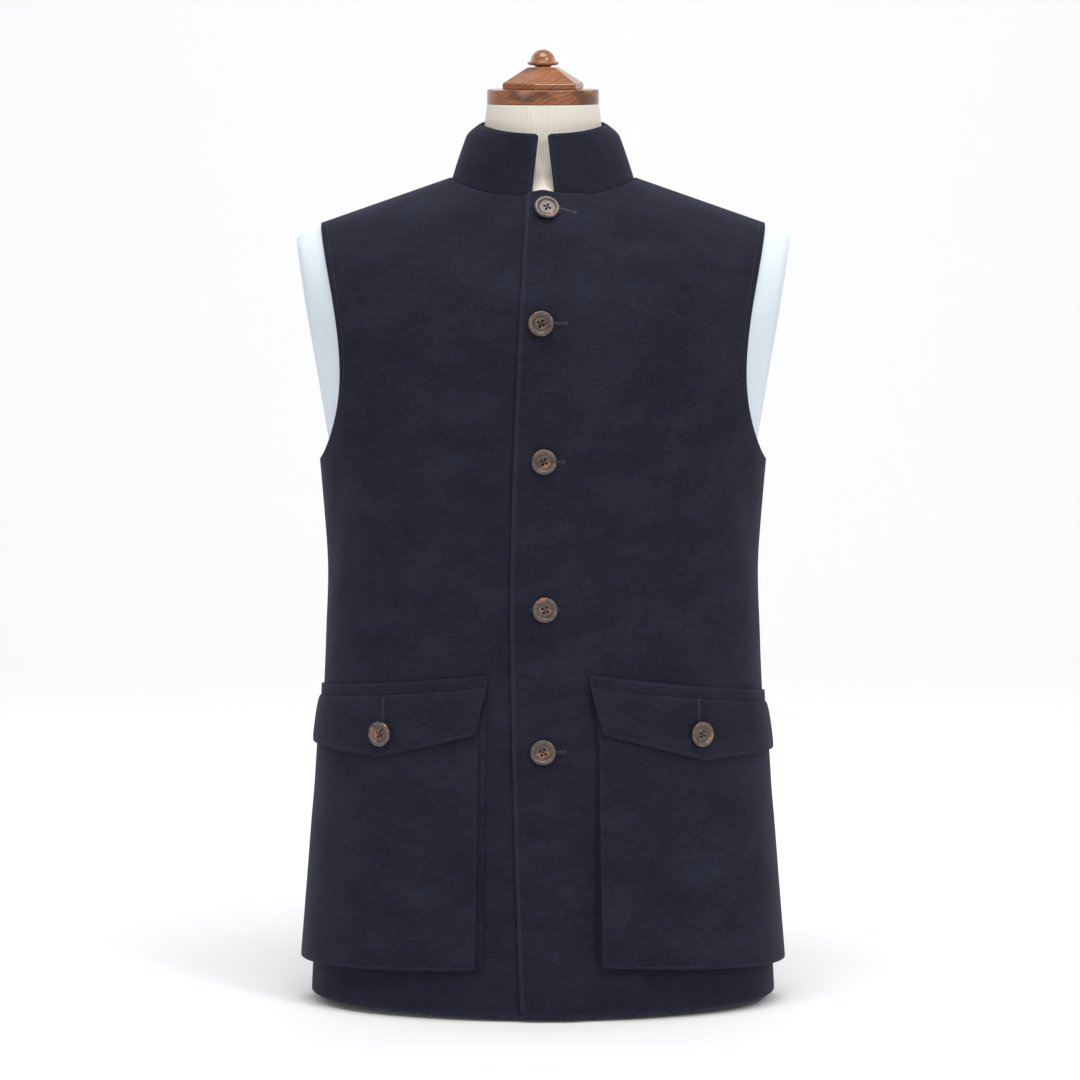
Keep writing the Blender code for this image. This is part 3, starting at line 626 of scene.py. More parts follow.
def highlit_and_worn(points, free):
    """How much paler the cloth is painted: fully on free edges, a little along seams. It is a painted edge
    highlight, and also scuffed pile.
    """
    every = highlit_and_worn_near(points, ("low", "high", "left", "right"), 0.0022)
    return np.maximum(highlit_and_worn_near(points, free), 0.4 * every)


def panel(name, grid, lift, free, look):
    """A body panel from its (turn, rise) grid."""
    turn, rise = grid[..., 0], grid[..., 1]
    base = lift + creases(turn, rise)
    base = base + button_dimples(raised(turn, rise, lift + CLOTH))
    outer = raised(turn, rise, base + CLOTH)
    inner = raised(turn, rise, base)
    OUTSIDES[name] = outer.copy()
    return cloth_piece(name, outer, inner, cloth_uv(grid), highlit_and_worn(outer, free), look)


def grid_normals(points):
    over, up = np.gradient(points, axis=1), np.gradient(points, axis=0)
    return unit(np.cross(over, up))


def shell(name, points, thickness, uv, free, look, offset=0.0, highlit_and_rubbed=0.2):
    """A piece of cloth built outwards from a grid of points, or to both sides of it."""
    normals = grid_normals(points)
    outer = points + normals * thickness * (1 - offset)
    inner = points - normals * thickness * offset
    OUTSIDES[name] = outer.copy()
    return cloth_piece(name, outer, inner, uv, highlit_and_rubbed * highlit_and_worn(outer, free), look, 0.35 * thickness)


def outside(name):
    if name not in OUTSIDES:
        raise RuntimeError(f"{name} isn't cut yet, so nothing can be sewn to it")
    return OUTSIDES[name]


# ---------------------------------------------------------------- shader writing

class Value:
    """A shader socket that takes part in Python arithmetic through Math nodes."""

    def __init__(self, tree, socket):
        self.tree = tree
        self.socket = socket

    def math(self, operation, first, second=None):
        values = [first] if second is None else [first, second]
        return self.tree.node("ShaderNodeMath", {"operation": operation}, *values)

    def __add__(self, other):
        return self.math("ADD", self, other)

    def __radd__(self, other):
        return self.math("ADD", other, self)

    def __sub__(self, other):
        return self.math("SUBTRACT", self, other)

    def __rsub__(self, other):
        return self.math("SUBTRACT", other, self)

    def __mul__(self, other):
        return self.math("MULTIPLY", self, other)

    def __rmul__(self, other):
        return self.math("MULTIPLY", other, self)

    def __truediv__(self, other):
        return self.math("DIVIDE", self, other)

    def __rtruediv__(self, other):
        return self.math("DIVIDE", other, self)

    def __pow__(self, other):
        return self.math("POWER", self, other)

    def __neg__(self):
        return self.math("MULTIPLY", self, -1.0)


class Finish:
    """One material: its tree, and short ways to add the nodes that a finish needs."""

    def __init__(self, name, colour):
        self.material = bpy.data.materials.new(name)
        self.material.use_nodes = True
        self.material.diffuse_color = (*colour, 1.0)
        self.nodes = self.material.node_tree.nodes
        self.links = self.material.node_tree.links
        self.shader = self.nodes["Principled BSDF"]

    def node(self, kind, settings=None, *values, output=0, **named):
        made = self.nodes.new(kind)
        for key, value in (settings or {}).items():
            if key == "stops":
                self.set_stops(made.color_ramp, value)
            else:
                setattr(made, key, value)
        sockets = [socket for socket in made.inputs if socket.enabled]
        for place, value in [*enumerate(values), *named.items()]:
            socket = sockets[place] if isinstance(place, int) else made.inputs[place.replace("_", " ")]
            self.feed(socket, value)
        return Value(self, made.outputs[output])

    def feed(self, socket, value):
        if isinstance(value, Value):
            self.links.new(value.socket, socket)
        elif value is not None:
            socket.default_value = value

    @staticmethod
    def set_stops(ramp, stops):
        while len(ramp.elements) < len(stops):
            ramp.elements.new(0.5)
        for element, (place, colour) in zip(ramp.elements, stops):
            element.position = place
            element.color = (*colour, 1.0) if len(colour) == 3 else colour

    def noise(self, vector, scale, detail=3.0, rough=0.55, distortion=0.0):
        return self.node("ShaderNodeTexNoise", None, Vector=vector, Scale=scale, Detail=detail,
                         Roughness=rough, Distortion=distortion)

    def wave(self, vector, scale, distortion=0.0, settings=None, detail=1.0, detail_scale=1.0):
        return self.node("ShaderNodeTexWave", settings, Vector=vector, Scale=scale,
                         Distortion=distortion, Detail=detail, Detail_Scale=detail_scale, output=1)

    def placed(self, vector, scale=(1, 1, 1), location=(0, 0, 0), rotation=(0, 0, 0)):
        return self.node("ShaderNodeMapping", None, vector, location, rotation, scale)

    def blend(self, factor, first, second, kind="MIX"):
        made = self.nodes.new("ShaderNodeMix")
        made.data_type = "RGBA"
        made.blend_type = kind
        for socket, value in zip((made.inputs[0], made.inputs[6], made.inputs[7]), (factor, first, second)):
            self.feed(socket, (*value, 1.0) if isinstance(value, tuple) and len(value) == 3 else value)
        return Value(self, made.outputs[2])

    def steps(self, value, low, high, start=0.0, end=1.0):
        return self.node("ShaderNodeMapRange", {"interpolation_type": "SMOOTHSTEP"}, value, low, high,
                         start, end)

    def bump(self, height, strength, distance, under=None):
        return self.node("ShaderNodeBump", None, Strength=strength, Distance=distance, Height=height,
                         Normal=under)

    def uv(self):
        return self.node("ShaderNodeUVMap", {"uv_map": "Cloth"})

    def attribute(self, name, output=2):
        return self.node("ShaderNodeAttribute", {"attribute_name": name}, output=output)

    def object_place(self):
        return self.node("ShaderNodeTexCoord", output=3)

    def done(self, **inputs):
        for name, value in inputs.items():
            self.feed(self.shader.inputs[name.replace("_", " ")], value)
        return self.material


def colour_of(values):
    return tuple(values)


def moleskin():
    """Dense brushed cotton with fine level slubs, painted paler on its turned edges: a painted edge
    highlight, and also scuffed pile.
    """
    settings = bpy.context.scene.waistcoat_cloth
    cloth, highlit_and_rubbed = colour_of(settings.colour), colour_of(settings.edge_colour)
    made = Finish("navy_moleskin", cloth)
    place = made.uv()
    slubs = made.noise(made.placed(place, (110, 760, 1)), 1.0, 4.0, 0.62)
    warp_slubs = made.noise(made.placed(place, (620, 95, 1)), 1.0, 3.0, 0.6)
    broad = made.noise(made.placed(place, (17, 24, 1)), 1.0, 4.0, 0.62)
    fine = made.noise(made.placed(place, (1300, 1900, 1)), 1.0, 2.0, 0.7)
    weft = made.wave(place, 260.0, 1.2, {"bands_direction": "Y"}, 2.0, 3.0)
    warp = made.wave(place, 330.0, 1.2, {"bands_direction": "X"}, 2.0, 3.0)
    light = (slubs - 0.5) * 0.55 + (warp_slubs - 0.5) * 0.25 + (broad - 0.5) * 0.5 + (fine - 0.5) * 0.7
    paler = tuple(2.3 * c for c in cloth)
    deeper = tuple(0.38 * c for c in cloth)
    base = made.blend(made.steps(light, -0.31, 0.34), deeper, paler)
    warmth = made.noise(made.placed(place, (90, 300, 1)), 1.0, 2.0, 0.5)
    warm = tuple(c * w for c, w in zip(cloth, (1.5, 1.05, 0.9)))
    base = made.blend(made.steps(warmth, 0.48, 0.72) * 0.5, base, warm)
    # Painted edge highlight, and also scuffed pile: the cloth turns towards the edge colour near edges and
    # seams.
    edge = made.attribute("edge") * (0.55 + (slubs - 0.5) * 1.2)
    base = made.blend(edge, base, highlit_and_rubbed)
    relief = weft * 0.5 + warp * 0.35 + fine * 0.5 + slubs * 0.8
    nap = made.bump(relief, 0.55, 0.00022)
    drape = made.bump(broad, 0.35, 0.0016, nap)
    made.shader.inputs["Sheen Weight"].default_value = 0.07
    made.shader.inputs["Sheen Roughness"].default_value = 0.4
    made.shader.inputs["Sheen Tint"].default_value = (0.42, 0.50, 0.80, 1.0)
    made.shader.inputs["Specular IOR Level"].default_value = 0.14
    return made.done(Base_Color=base, Roughness=0.78 + (slubs - 0.5) * 0.16, Normal=drape)


def thread(name, colour):
    """Glossy sewing thread with the twist of its plies."""
    made = Finish(name, colour)
    place = made.object_place()
    twist = made.noise(place, 1900.0, 2.0, 0.6)
    base = made.blend(twist, tuple(0.6 * c for c in colour), tuple(min(1, 1.7 * c) for c in colour))
    made.shader.inputs["Sheen Weight"].default_value = 0.15
    return made.done(Base_Color=base, Roughness=0.62, Normal=made.bump(twist, 0.4, 0.0001))


def horn():
    """Polished horn: dark streaks and pale clouds that run through the blank, over turned rings."""
    settings = bpy.context.scene.waistcoat_trim
    light, dark = colour_of(settings.horn_light), colour_of(settings.horn_dark)
    made = Finish("brown_horn", tuple((a + b) / 2 for a, b in zip(light, dark)))
    place = made.attribute("blank", 1)
    radius = made.attribute("radius")
    cloud = made.noise(made.placed(place, (120, 260, 120)), 1.0, 4.0, 0.6, 1.4)
    streak = made.noise(made.placed(place, (60, 900, 60), rotation=(0, 0, 0.6)), 1.0, 3.0, 0.6, 0.8)
    grey = made.noise(made.placed(place, (170, 170, 170), (3, 1, 2)), 1.0, 2.0, 0.5)
    middle_tone = tuple(mix(a, b, 0.36) for a, b in zip(dark, light))
    base = made.node("ShaderNodeValToRGB", {"stops": [(0.36, dark), (0.54, middle_tone), (0.74, light)]},
                     cloud)
    copper = made.noise(made.placed(place, (75, 95, 75), (7, 2, 5)), 1.0, 2.0, 0.5, 0.6)
    base = made.blend(made.steps(streak, 0.56, 0.72) * 0.4, base, dark)
    base = made.blend(made.steps(grey, 0.42, 0.62) * 0.75, base, (0.085, 0.074, 0.066))
    base = made.blend(made.steps(copper, 0.57, 0.66) * 0.8, base, (0.34, 0.135, 0.055))
    ring = made.node("ShaderNodeMath", {"operation": "SINE"}, radius * 9500.0)
    turned_in = made.steps(radius, 0.0052, 0.0060) * (1 - made.steps(radius, 0.0074, 0.0082))
    base = made.blend(turned_in * 0.45, base, tuple(0.55 * c for c in dark))
    relief = ring * 0.35 * turned_in + cloud * 0.25
    made.shader.inputs["Coat Weight"].default_value = 0.3
    made.shader.inputs["Coat Roughness"].default_value = 0.16
    return made.done(Base_Color=base, Roughness=0.38 + (cloud - 0.5) * 0.12,
                     Normal=made.bump(relief, 0.10, 0.00008))


def cotton():
    """Pale plain-woven cotton, stretched smooth over the form."""
    colour = colour_of(bpy.context.scene.waistcoat_form.cotton)
    made = Finish("pale_blue_cotton", colour)
    place = made.uv()
    weft = made.wave(place, 420.0, 1.0, {"bands_direction": "Y"}, 2.0, 2.0)
    warp = made.wave(place, 420.0, 1.0, {"bands_direction": "X"}, 2.0, 2.0)
    cloud = made.noise(made.placed(place, (14, 14, 1)), 1.0, 3.0, 0.5)
    fibre = made.noise(made.placed(place, (700, 1100, 1)), 1.0, 2.0, 0.6)
    base = made.blend(cloud, tuple(0.94 * c for c in colour), tuple(min(1, 1.05 * c) for c in colour))
    base = made.blend(made.steps(fibre, 0.45, 0.75) * 0.25, base, tuple(0.84 * c for c in colour))
    base = made.blend(made.attribute("edge") * 0.35, base, tuple(0.72 * c for c in colour))
    made.shader.inputs["Sheen Weight"].default_value = 0.1
    return made.done(Base_Color=base, Roughness=0.82 + (fibre - 0.5) * 0.1,
                     Normal=made.bump(weft * 0.5 + warp * 0.5 + fibre * 0.4, 0.35, 0.00018))


def jersey():
    """Cream rib-knit jersey; its ribs are in the mesh, the loops of the knit are here, and the dips between
    ribs are painted darker as shade.
    """
    colour = colour_of(bpy.context.scene.waistcoat_form.jersey)
    made = Finish("cream_jersey", colour)
    place = made.uv()
    loops = made.wave(place, 300.0, 1.5, {"bands_direction": "Y"}, 2.0, 2.0)
    fuzz = made.noise(made.placed(place, (900, 900, 1)), 1.0, 3.0, 0.65)
    cloud = made.noise(made.placed(place, (30, 20, 1)), 1.0, 2.0, 0.5)
    base = made.blend(cloud, tuple(0.92 * c for c in colour), tuple(min(1, 1.04 * c) for c in colour))
    # Painted shade: the jersey is painted darker along the dips between ribs, held in the edge attribute.
    base = made.blend(made.attribute("edge") * 0.5, base, tuple(0.66 * c for c in colour))
    base = made.blend(made.steps(loops, 0.2, 0.8) * 0.12, base, tuple(0.75 * c for c in colour))
    made.shader.inputs["Sheen Weight"].default_value = 0.2
    return made.done(Base_Color=base, Roughness=0.9 + (fuzz - 0.5) * 0.1,
                     Normal=made.bump(loops * 0.6 + fuzz * 0.5, 0.4, 0.00025))


def rosewood():
    """Polished rosewood with dark wandering grain that runs across the cap."""
    settings = bpy.context.scene.waistcoat_form
    light, dark = colour_of(settings.wood_light), colour_of(settings.wood_dark)
    made = Finish("rosewood", light)
    place = made.object_place()
    drift = made.noise(made.placed(place, (40, 40, 120)), 1.0, 3.0, 0.6, 0.6)
    lines = made.wave(made.placed(place, rotation=(0.2, 0.42, 0.1)), 84.0, 16.0,
                      {"bands_direction": "Z", "wave_profile": "SAW"}, 4.0, 0.5)
    pores = made.noise(made.placed(place, (300, 300, 1900)), 1.0, 2.0, 0.6)
    patches = made.noise(made.placed(place, (22, 22, 40), (0.3, 0.1, 0.7)), 1.0, 2.0, 0.5)
    warm = tuple(mix(a, b, 0.35) for a, b in zip(light, dark))
    base = made.node("ShaderNodeValToRGB", {"stops": [(0.14, light), (0.52, warm), (0.86, dark)]},
                     lines * 0.40 + drift * 0.60)
    base = made.blend(made.steps(patches, 0.50, 0.60) * 0.7, base, dark)
    base = made.blend(made.steps(pores, 0.60, 0.74) * 0.5, base, tuple(0.5 * c for c in dark))
    made.shader.inputs["Coat Weight"].default_value = 0.4
    made.shader.inputs["Coat Roughness"].default_value = 0.08
    return made.done(Base_Color=base, Roughness=0.32 + (drift - 0.5) * 0.2,
                     Normal=made.bump(pores * 0.6 + lines * 0.2, 0.18, 0.00015))


FINISHES = {}


def finish(name):
    makers = {"moleskin": moleskin, "horn": horn, "cotton": cotton, "jersey": jersey, "wood": rosewood,
              "thread": lambda: thread("navy_thread",
                                       colour_of(bpy.context.scene.waistcoat_cloth.thread_colour)),
              "twist": lambda: thread("buttonhole_twist", (0.030, 0.034, 0.056)),
              "silk": lambda: thread("button_thread", (0.008, 0.008, 0.011)),
              # Near-black finish for buttonhole openings: painted shade.
              "slit_shade": lambda: thread("buttonhole_dark", (0.0022, 0.0022, 0.003))}
    if name not in FINISHES:
        FINISHES[name] = makers[name]()
    return FINISHES[name]


# ---------------------------------------------------------------- stitches

def stitch_shape(length, thickness):
    """One stitch: a short thread that dips at both ends."""
    build = bmesh.new()
    bmesh.ops.create_uvsphere(build, u_segments=6, v_segments=4, radius=1.0,
                              matrix=Matrix.Rotation(math.pi / 2, 4, "Y"))
    for vert in build.verts:
        vert.co = Vector((vert.co.x * length / 2, vert.co.y * thickness / 2, vert.co.z * thickness / 2))
    mesh = mesh_from(build, "stitch_shape")
    mesh.shade_smooth()
    return link(mesh, None)


def stitch_tree(stitch, look):
    """Geometry Nodes: lays the stitch along every curve at an even pitch."""
    tree = bpy.data.node_groups.new("Stitching", "GeometryNodeTree")
    tree.interface.new_socket("Path", in_out="INPUT", socket_type="NodeSocketGeometry")
    tree.interface.new_socket("Pitch", in_out="INPUT", socket_type="NodeSocketFloat")
    tree.interface.new_socket("Stitches", in_out="OUTPUT", socket_type="NodeSocketGeometry")
    nodes, links = tree.nodes, tree.links
    source, sink = nodes.new("NodeGroupInput"), nodes.new("NodeGroupOutput")
    points = nodes.new("GeometryNodeCurveToPoints")
    points.mode = "LENGTH"
    align = nodes.new("FunctionNodeAlignRotationToVector")
    align.axis = "X"
    info = nodes.new("GeometryNodeObjectInfo")
    info.inputs["Object"].default_value = stitch
    lay = nodes.new("GeometryNodeInstanceOnPoints")
    realize = nodes.new("GeometryNodeRealizeInstances")
    paint = nodes.new("GeometryNodeSetMaterial")
    paint.inputs["Material"].default_value = look
    links.new(source.outputs["Path"], points.inputs["Curve"])
    links.new(source.outputs["Pitch"], points.inputs["Length"])
    links.new(points.outputs["Tangent"], align.inputs["Vector"])
    links.new(points.outputs["Points"], lay.inputs["Points"])
    links.new(info.outputs["Geometry"], lay.inputs["Instance"])
    links.new(align.outputs["Rotation"], lay.inputs["Rotation"])
    links.new(lay.outputs["Instances"], realize.inputs["Geometry"])
    links.new(realize.outputs["Geometry"], paint.inputs["Geometry"])
    links.new(paint.outputs["Geometry"], sink.inputs["Stitches"])
    return tree


def stitch_runs(name, paths, pitch, length, thickness, look, slot="navy_cloth"):
    """Stitches along paths of points, made one plain mesh that rides on the body."""
    curve = bpy.data.curves.new(name + "_path", "CURVE")
    curve.dimensions = "3D"
    for path in paths:
        spline = curve.splines.new("POLY")
        spline.points.add(len(path) - 1)
        for point, place in zip(spline.points, path):
            point.co = (*place, 1.0)
    guide = bpy.data.objects.new(curve.name, curve)
    bpy.context.scene.collection.objects.link(guide)
    stitch = stitch_shape(length, thickness)
    tree = stitch_tree(stitch, look)
    sewing = guide.modifiers.new("Stitching", "NODES")
    sewing.node_group = tree
    for item in tree.interface.items_tree:
        if item.name == "Pitch":
            sewing[item.identifier] = pitch
    graph = bpy.context.evaluated_depsgraph_get()
    mesh = bpy.data.meshes.new_from_object(guide.evaluated_get(graph))
    mesh.name = name
    bpy.data.objects.remove(guide)
    bpy.data.objects.remove(stitch)
    piece = link(mesh, None)
    if not len(mesh.vertices):
        raise RuntimeError(f"{name} has no stitches")
    mesh.shade_smooth()
    return settle(piece, slot)


def inset_run(name, edge, away, start=0.0, stop=0.0, keep=slice(None)):
    """A path on a piece's outside, a distance in from one edge and short of that edge's ends."""
    points = outside(name)
    points = points[:, keep] if edge in ("low", "high") else points[keep]
    points = points if edge in ("low", "left") else points[::-1, ::-1]
    points = points if edge in ("low", "high") else np.swapaxes(points, 0, 1)
    normals = grid_normals(points) * (-1 if edge in ("left", "right") else 1)
    steps = np.linalg.norm(np.diff(points, axis=0), axis=-1)
    reached = np.concatenate((np.zeros((1, points.shape[1])), np.cumsum(steps, axis=0)))
    column = np.arange(points.shape[1])
    first = np.clip((reached < away).sum(axis=0) - 1, 0, len(points) - 2)
    share = (away - reached[first, column]) / (reached[first + 1, column] - reached[first, column])
    line = mix(points[first, column], points[first + 1, column], share[:, None])
    line = line + normals[first, column] * THREAD_LIFT
    along = np.concatenate(([0.0], np.cumsum(np.linalg.norm(np.diff(line, axis=0), axis=-1))))
    return line[(along >= start) & (along <= along[-1] - stop)]


def on_piece(name, start, stop, steps=40):
    """A straight path on a piece's outside between two places, each a share over and a share up."""
    points = outside(name)
    over, up = (np.linspace(a, b, steps) for a, b in zip(start, stop))
    widths = np.linalg.norm(np.diff(points[points.shape[0] // 2], axis=0), axis=-1)
    heights = np.linalg.norm(np.diff(points[:, points.shape[1] // 2], axis=0), axis=-1)
    places = [np.concatenate(([0.0], np.cumsum(lengths))) / lengths.sum() for lengths in (widths, heights)]
    column = np.interp(over, places[0], np.arange(points.shape[1]))
    row = np.interp(up, places[1], np.arange(points.shape[0]))
    low_row = np.clip(row.astype(int), 0, points.shape[0] - 2)
    low_column = np.clip(column.astype(int), 0, points.shape[1] - 2)
    rest_row, rest_column = (row - low_row)[:, None], (column - low_column)[:, None]
    lower = mix(points[low_row, low_column], points[low_row, low_column + 1], rest_column)
    upper = mix(points[low_row + 1, low_column], points[low_row + 1, low_column + 1], rest_column)
    normals = grid_normals(points)[low_row, low_column]
    return mix(lower, upper, rest_row) + normals * THREAD_LIFT


# ---------------------------------------------------------------- the coat's pieces

def fronts_grid(side):
    if side == "left":
        start = -math.degrees(math.asin(LAP_AT_NECK / NECK_HALF_WIDTH))
        grid = front_grid(lap_edge, start)
        rows = np.arange(len(grid))
        height = on_body(grid[:, 0, 0], grid[:, 0, 1])[:, 2]
        near_top = cut_back(height[-1] - height, LAP_TOP_CORNER)
        shift = np.degrees(near_top / 0.2)[rows, None] * np.exp(-np.arange(grid.shape[1]) / 3.0)
        grid[..., 0] += shift
        return grid
    start = -math.degrees(math.asin(UNDERLAP / NECK_HALF_WIDTH))
    grid = front_grid(lambda height: np.full_like(height, -UNDERLAP), start)[:, ::-1].copy()
    grid[..., 0] *= -1
    return grid


class WAISTCOAT_OT_fronts(bpy.types.Operator):
    """Cuts both fronts; the wearer's left one laps over the right"""

    bl_idname = "waistcoat.fronts"
    bl_label = "Fronts"

    def execute(self, context):
        look = finish("moleskin")
        for side, free in (("left", ("low", "left")), ("right", ("low", "right"))):
            grid = fronts_grid(side)
            across = on_body(grid[..., 0], grid[..., 1])[..., 0]
            lift = lap_lift(across) if side == "left" else np.zeros(across.shape)
            piece = settle(panel(f"cut_front_{side}", grid, lift, free, look), "navy_cloth",
                           f"front_{side}")
        return {"FINISHED"}


class WAISTCOAT_OT_back(bpy.types.Operator):
    """Cuts the back in one piece"""

    bl_idname = "waistcoat.back"
    bl_label = "Back"

    def execute(self, context):
        grid = back_grid()
        piece = panel("cut_back", grid, np.zeros(grid.shape[:2]), ("low",), finish("moleskin"))
        settle(piece, "navy_cloth", "back")
        return {"FINISHED"}


def collar_points():
    """The inner face of the stand collar, from one front end round the back to the other."""
    rows, columns = 30, 190
    share = np.linspace(0, 1, rows + 1)[:, None]
    front_top, side_top, back_top = COLLAR_TOP_HEIGHTS
    gap = mix(COLLAR_GAP_BOTTOM, COLLAR_GAP_TOP, share)
    gap = gap + cut_back((1 - share) * COLLAR_RISE, COLLAR_CORNER)
    width = mix(NECK_HALF_WIDTH - COLLAR_INSET, COLLAR_TOP_HALF_WIDTH, share)
    start = np.degrees(np.arcsin(gap / width))
    along = np.linspace(0, 1, columns + 1)[None]
    along = mix(along, 0.5 - 0.5 * np.cos(np.pi * along), 0.45)
    angle = mix(start, 360 - start, along)
    from_front = np.minimum(angle, 360 - angle)
    is_back = from_front > 90
    near_middle = np.where(is_back, 180 - from_front, from_front)
    bottom = np.where(is_back, NECK_BACK, NECK_FRONT) - COLLAR_INSET
    top = np.where(is_back, COLLAR_TOP_BACK, COLLAR_TOP_FRONT)
    line = np.linspace(0, 90, 91)
    lows = [on_body(*neckline(line, back).T)[:, 2] for back in (False, True)]
    low = np.where(is_back, np.interp(near_middle, line, lows[1]), np.interp(near_middle, line, lows[0]))
    sideways = np.sin(np.radians(near_middle)) ** 2
    high = mix(np.where(is_back, back_top, front_top), side_top, sideways)
    angle_in = np.radians(angle)
    depth = mix(bottom, top, share)
    height = mix(low - COLLAR_TUCK, high, share)
    curled = np.maximum(share - COLLAR_CURL_START, 0.0) / (1 - COLLAR_CURL_START)
    width = width + 0.0006 * np.sin(np.pi * share) - COLLAR_CURL * curled**COLLAR_CURL_POWER * sideways
    return np.stack((width * np.sin(angle_in), -depth * np.cos(angle_in), height), axis=-1), angle


class WAISTCOAT_OT_collar(bpy.types.Operator):
    """Cuts the stand collar, open and rounded at the front"""

    bl_idname = "waistcoat.collar"
    bl_label = "Stand collar"

    def execute(self, context):
        points, angle = collar_points()
        uv = np.stack((np.radians(angle) * 0.075, points[..., 2]), axis=-1)
        piece = shell("cut_collar", points, CLOTH, uv, ("high", "left", "right"),
                      finish("moleskin"), highlit_and_rubbed=0.4)
        settle(piece, "navy_cloth", "collar")
        return {"FINISHED"}


def pocket_turn(spec, inner, share):
    even = share + POCKET_SPREAD * share * (share - 1)
    return spec["side"] * mix(inner, POCKET_OUTER_TURN, even)


def pocket_depth(down):
    return mix(POCKET_DEPTH_TOP, POCKET_DEPTH_BOTTOM, down)


def patch_place(spec, across, down):
    """The turn and height on a pocket's patch, its lower corners rounded."""
    top = mix(*spec["top"], across) - STRIP_HEIGHT - MOUTH_DROP
    foot = mix(*spec["bottom"], across)
    foot = foot + cut_back(np.minimum(across, 1 - across) * POCKET_WIDTH, POCKET_CORNER)
    return pocket_turn(spec, spec["inner_turn"], across), mix(top, foot, down)


def on_coat(turn, height, lift):
    """Points off the coat's outside, that follow its creases."""
    rise = height / CHEST - 1
    return raised(turn, rise, CLOTH + lift + creases(turn, rise))


def ordered(spec, *grids):
    return grids if spec["side"] > 0 else tuple(grid[:, ::-1] for grid in grids)


def even_ends(count, crowd=0.6):
    """Places from 0 to 1 that crowd towards both ends."""
    t = np.linspace(0, 1, count + 1)
    return mix(t, 0.5 - 0.5 * np.cos(np.pi * t), crowd)


def build_patch(label, spec, look):
    down, across = np.meshgrid(even_ends(90), even_ends(72), indexing="ij")
    down = down[::-1]
    turn, height = patch_place(spec, across, down)
    puff = 0.0014 * np.sin(np.pi * across) ** 0.8 * np.sin(np.pi * np.clip(down, 0, 1) * 0.86) ** 0.9
    sag = -0.0010 * soft(down, 0.30, 0.10) * np.sin(np.pi * across * 2.2 + 0.6)
    points = on_coat(turn, height, pocket_depth(down) + puff + sag * 0.5)
    points, turn, height = ordered(spec, points, turn[..., None], height[..., None])
    uv = np.concatenate((np.radians(turn) * GIRTH + 0.37, height), axis=-1)
    free = ("low", "high", "left", "right")
    piece = shell(f"cut_pocket_{label}", points, POCKET_CLOTH, uv, free, look)
    settle(piece, "navy_cloth", f"pocket_{label}")


def gusset_path():
    """Down one side of the patch, round its foot and up the other, with how much each is side or foot."""
    turn = np.linspace(0, np.pi / 2, 9)
    side_in, foot = POCKET_CORNER / POCKET_WIDTH, POCKET_CORNER / POCKET_HEIGHT
    fall = np.linspace(0.012, 1 - foot, 60)
    sweep = np.linspace(side_in, 1 - side_in, 60)
    first = np.stack((side_in * (1 - np.cos(turn)), 1 - foot + foot * np.sin(turn)), axis=-1)
    second = first[::-1] * (-1, 1) + (1, 0)
    left = np.stack((np.zeros(60), fall), axis=-1)
    bottom = np.stack((sweep, np.ones(60)), axis=-1)
    right = np.stack((np.ones(60), fall[::-1]), axis=-1)
    path = np.concatenate((left[:-1], first, bottom[1:-1], second, right[1:]))
    sides = np.concatenate((np.full(59, -1.0), -np.cos(turn), np.zeros(58), np.cos(turn[::-1]), np.ones(59)))
    return path[:, 0], path[:, 1], sides


def build_gusset(label, spec, look):
    """The bellows strip between the patch and the coat, bowed a little inwards."""
    across, down, sides = gusset_path()
    turn = pocket_turn(spec, spec["inner_turn"], across)
    top = mix(*spec["top"], across) - STRIP_HEIGHT - MOUTH_DROP
    height = mix(top, mix(*spec["bottom"], across), down)
    foot_share = np.sqrt(np.maximum(1 - sides**2, 0.0))
    inset = 0.0012
    inward = spec["side"] * np.degrees(inset / 0.2)
    head_turn = turn - inward * np.where(sides < 0, sides, 1.4 * sides)
    flare = np.where(sides < 0, spec["flare"] / 0.2, 0.0025 / 0.125)
    foot_turn = head_turn + spec["side"] * np.degrees(flare) * sides
    head_height = height + inset * foot_share
    foot_height = head_height - 0.0015 * foot_share
    share = np.linspace(0, 1, 9)[:, None]
    lift = mix(pocket_depth(down) - 0.0011, REST, share)
    bow = GUSSET_FOLD * np.sin(np.pi * share) * np.clip(pocket_depth(down) / POCKET_DEPTH_BOTTOM, 0, 1)
    turns = mix(head_turn, foot_turn, share) - spec["side"] * np.degrees(bow / 0.2) * sides
    heights = mix(head_height, foot_height, share) + bow * foot_share
    points = on_coat(turns, heights, lift)
    points = points if spec["side"] > 0 else points[::-1]
    along = np.concatenate(([0.0], np.cumsum(np.linalg.norm(np.diff(points[0], axis=0), axis=-1))))
    uv = np.stack(np.broadcast_arrays(along[None], share * 0.01 + 0.9), axis=-1)
    piece = shell(f"cut_gusset_{label}", points, 0.0012, uv, ("low", "high"), look, 0.5, highlit_and_rubbed=0.0)
    settle(piece, "navy_cloth", f"pocket_gusset_{label}")


def flap_place(spec, across, down):
    """Turn, height and lift on a flap: down is 0 at the fold and 1 at the pointed edge."""
    towards_point = 1 - np.sqrt(((2 * across - 1) ** 2 + 0.0009) / 1.0009)
    drop = mix(FLAP_EDGE, FLAP_POINT, towards_point**1.25)
    drop = drop - cut_back(np.minimum(across, 1 - across) * POCKET_WIDTH, FLAP_CORNER)
    fold = mix(*spec["top"], across) - STRIP_HEIGHT
    inner = mix(spec["strip_turn"], spec["inner_turn"] + 0.3, down)
    lift = mix(REST, FLAP_LIFT, np.clip(down, 0, 1) ** 0.4)
    return pocket_turn(spec, inner, across), fold - drop * down, lift


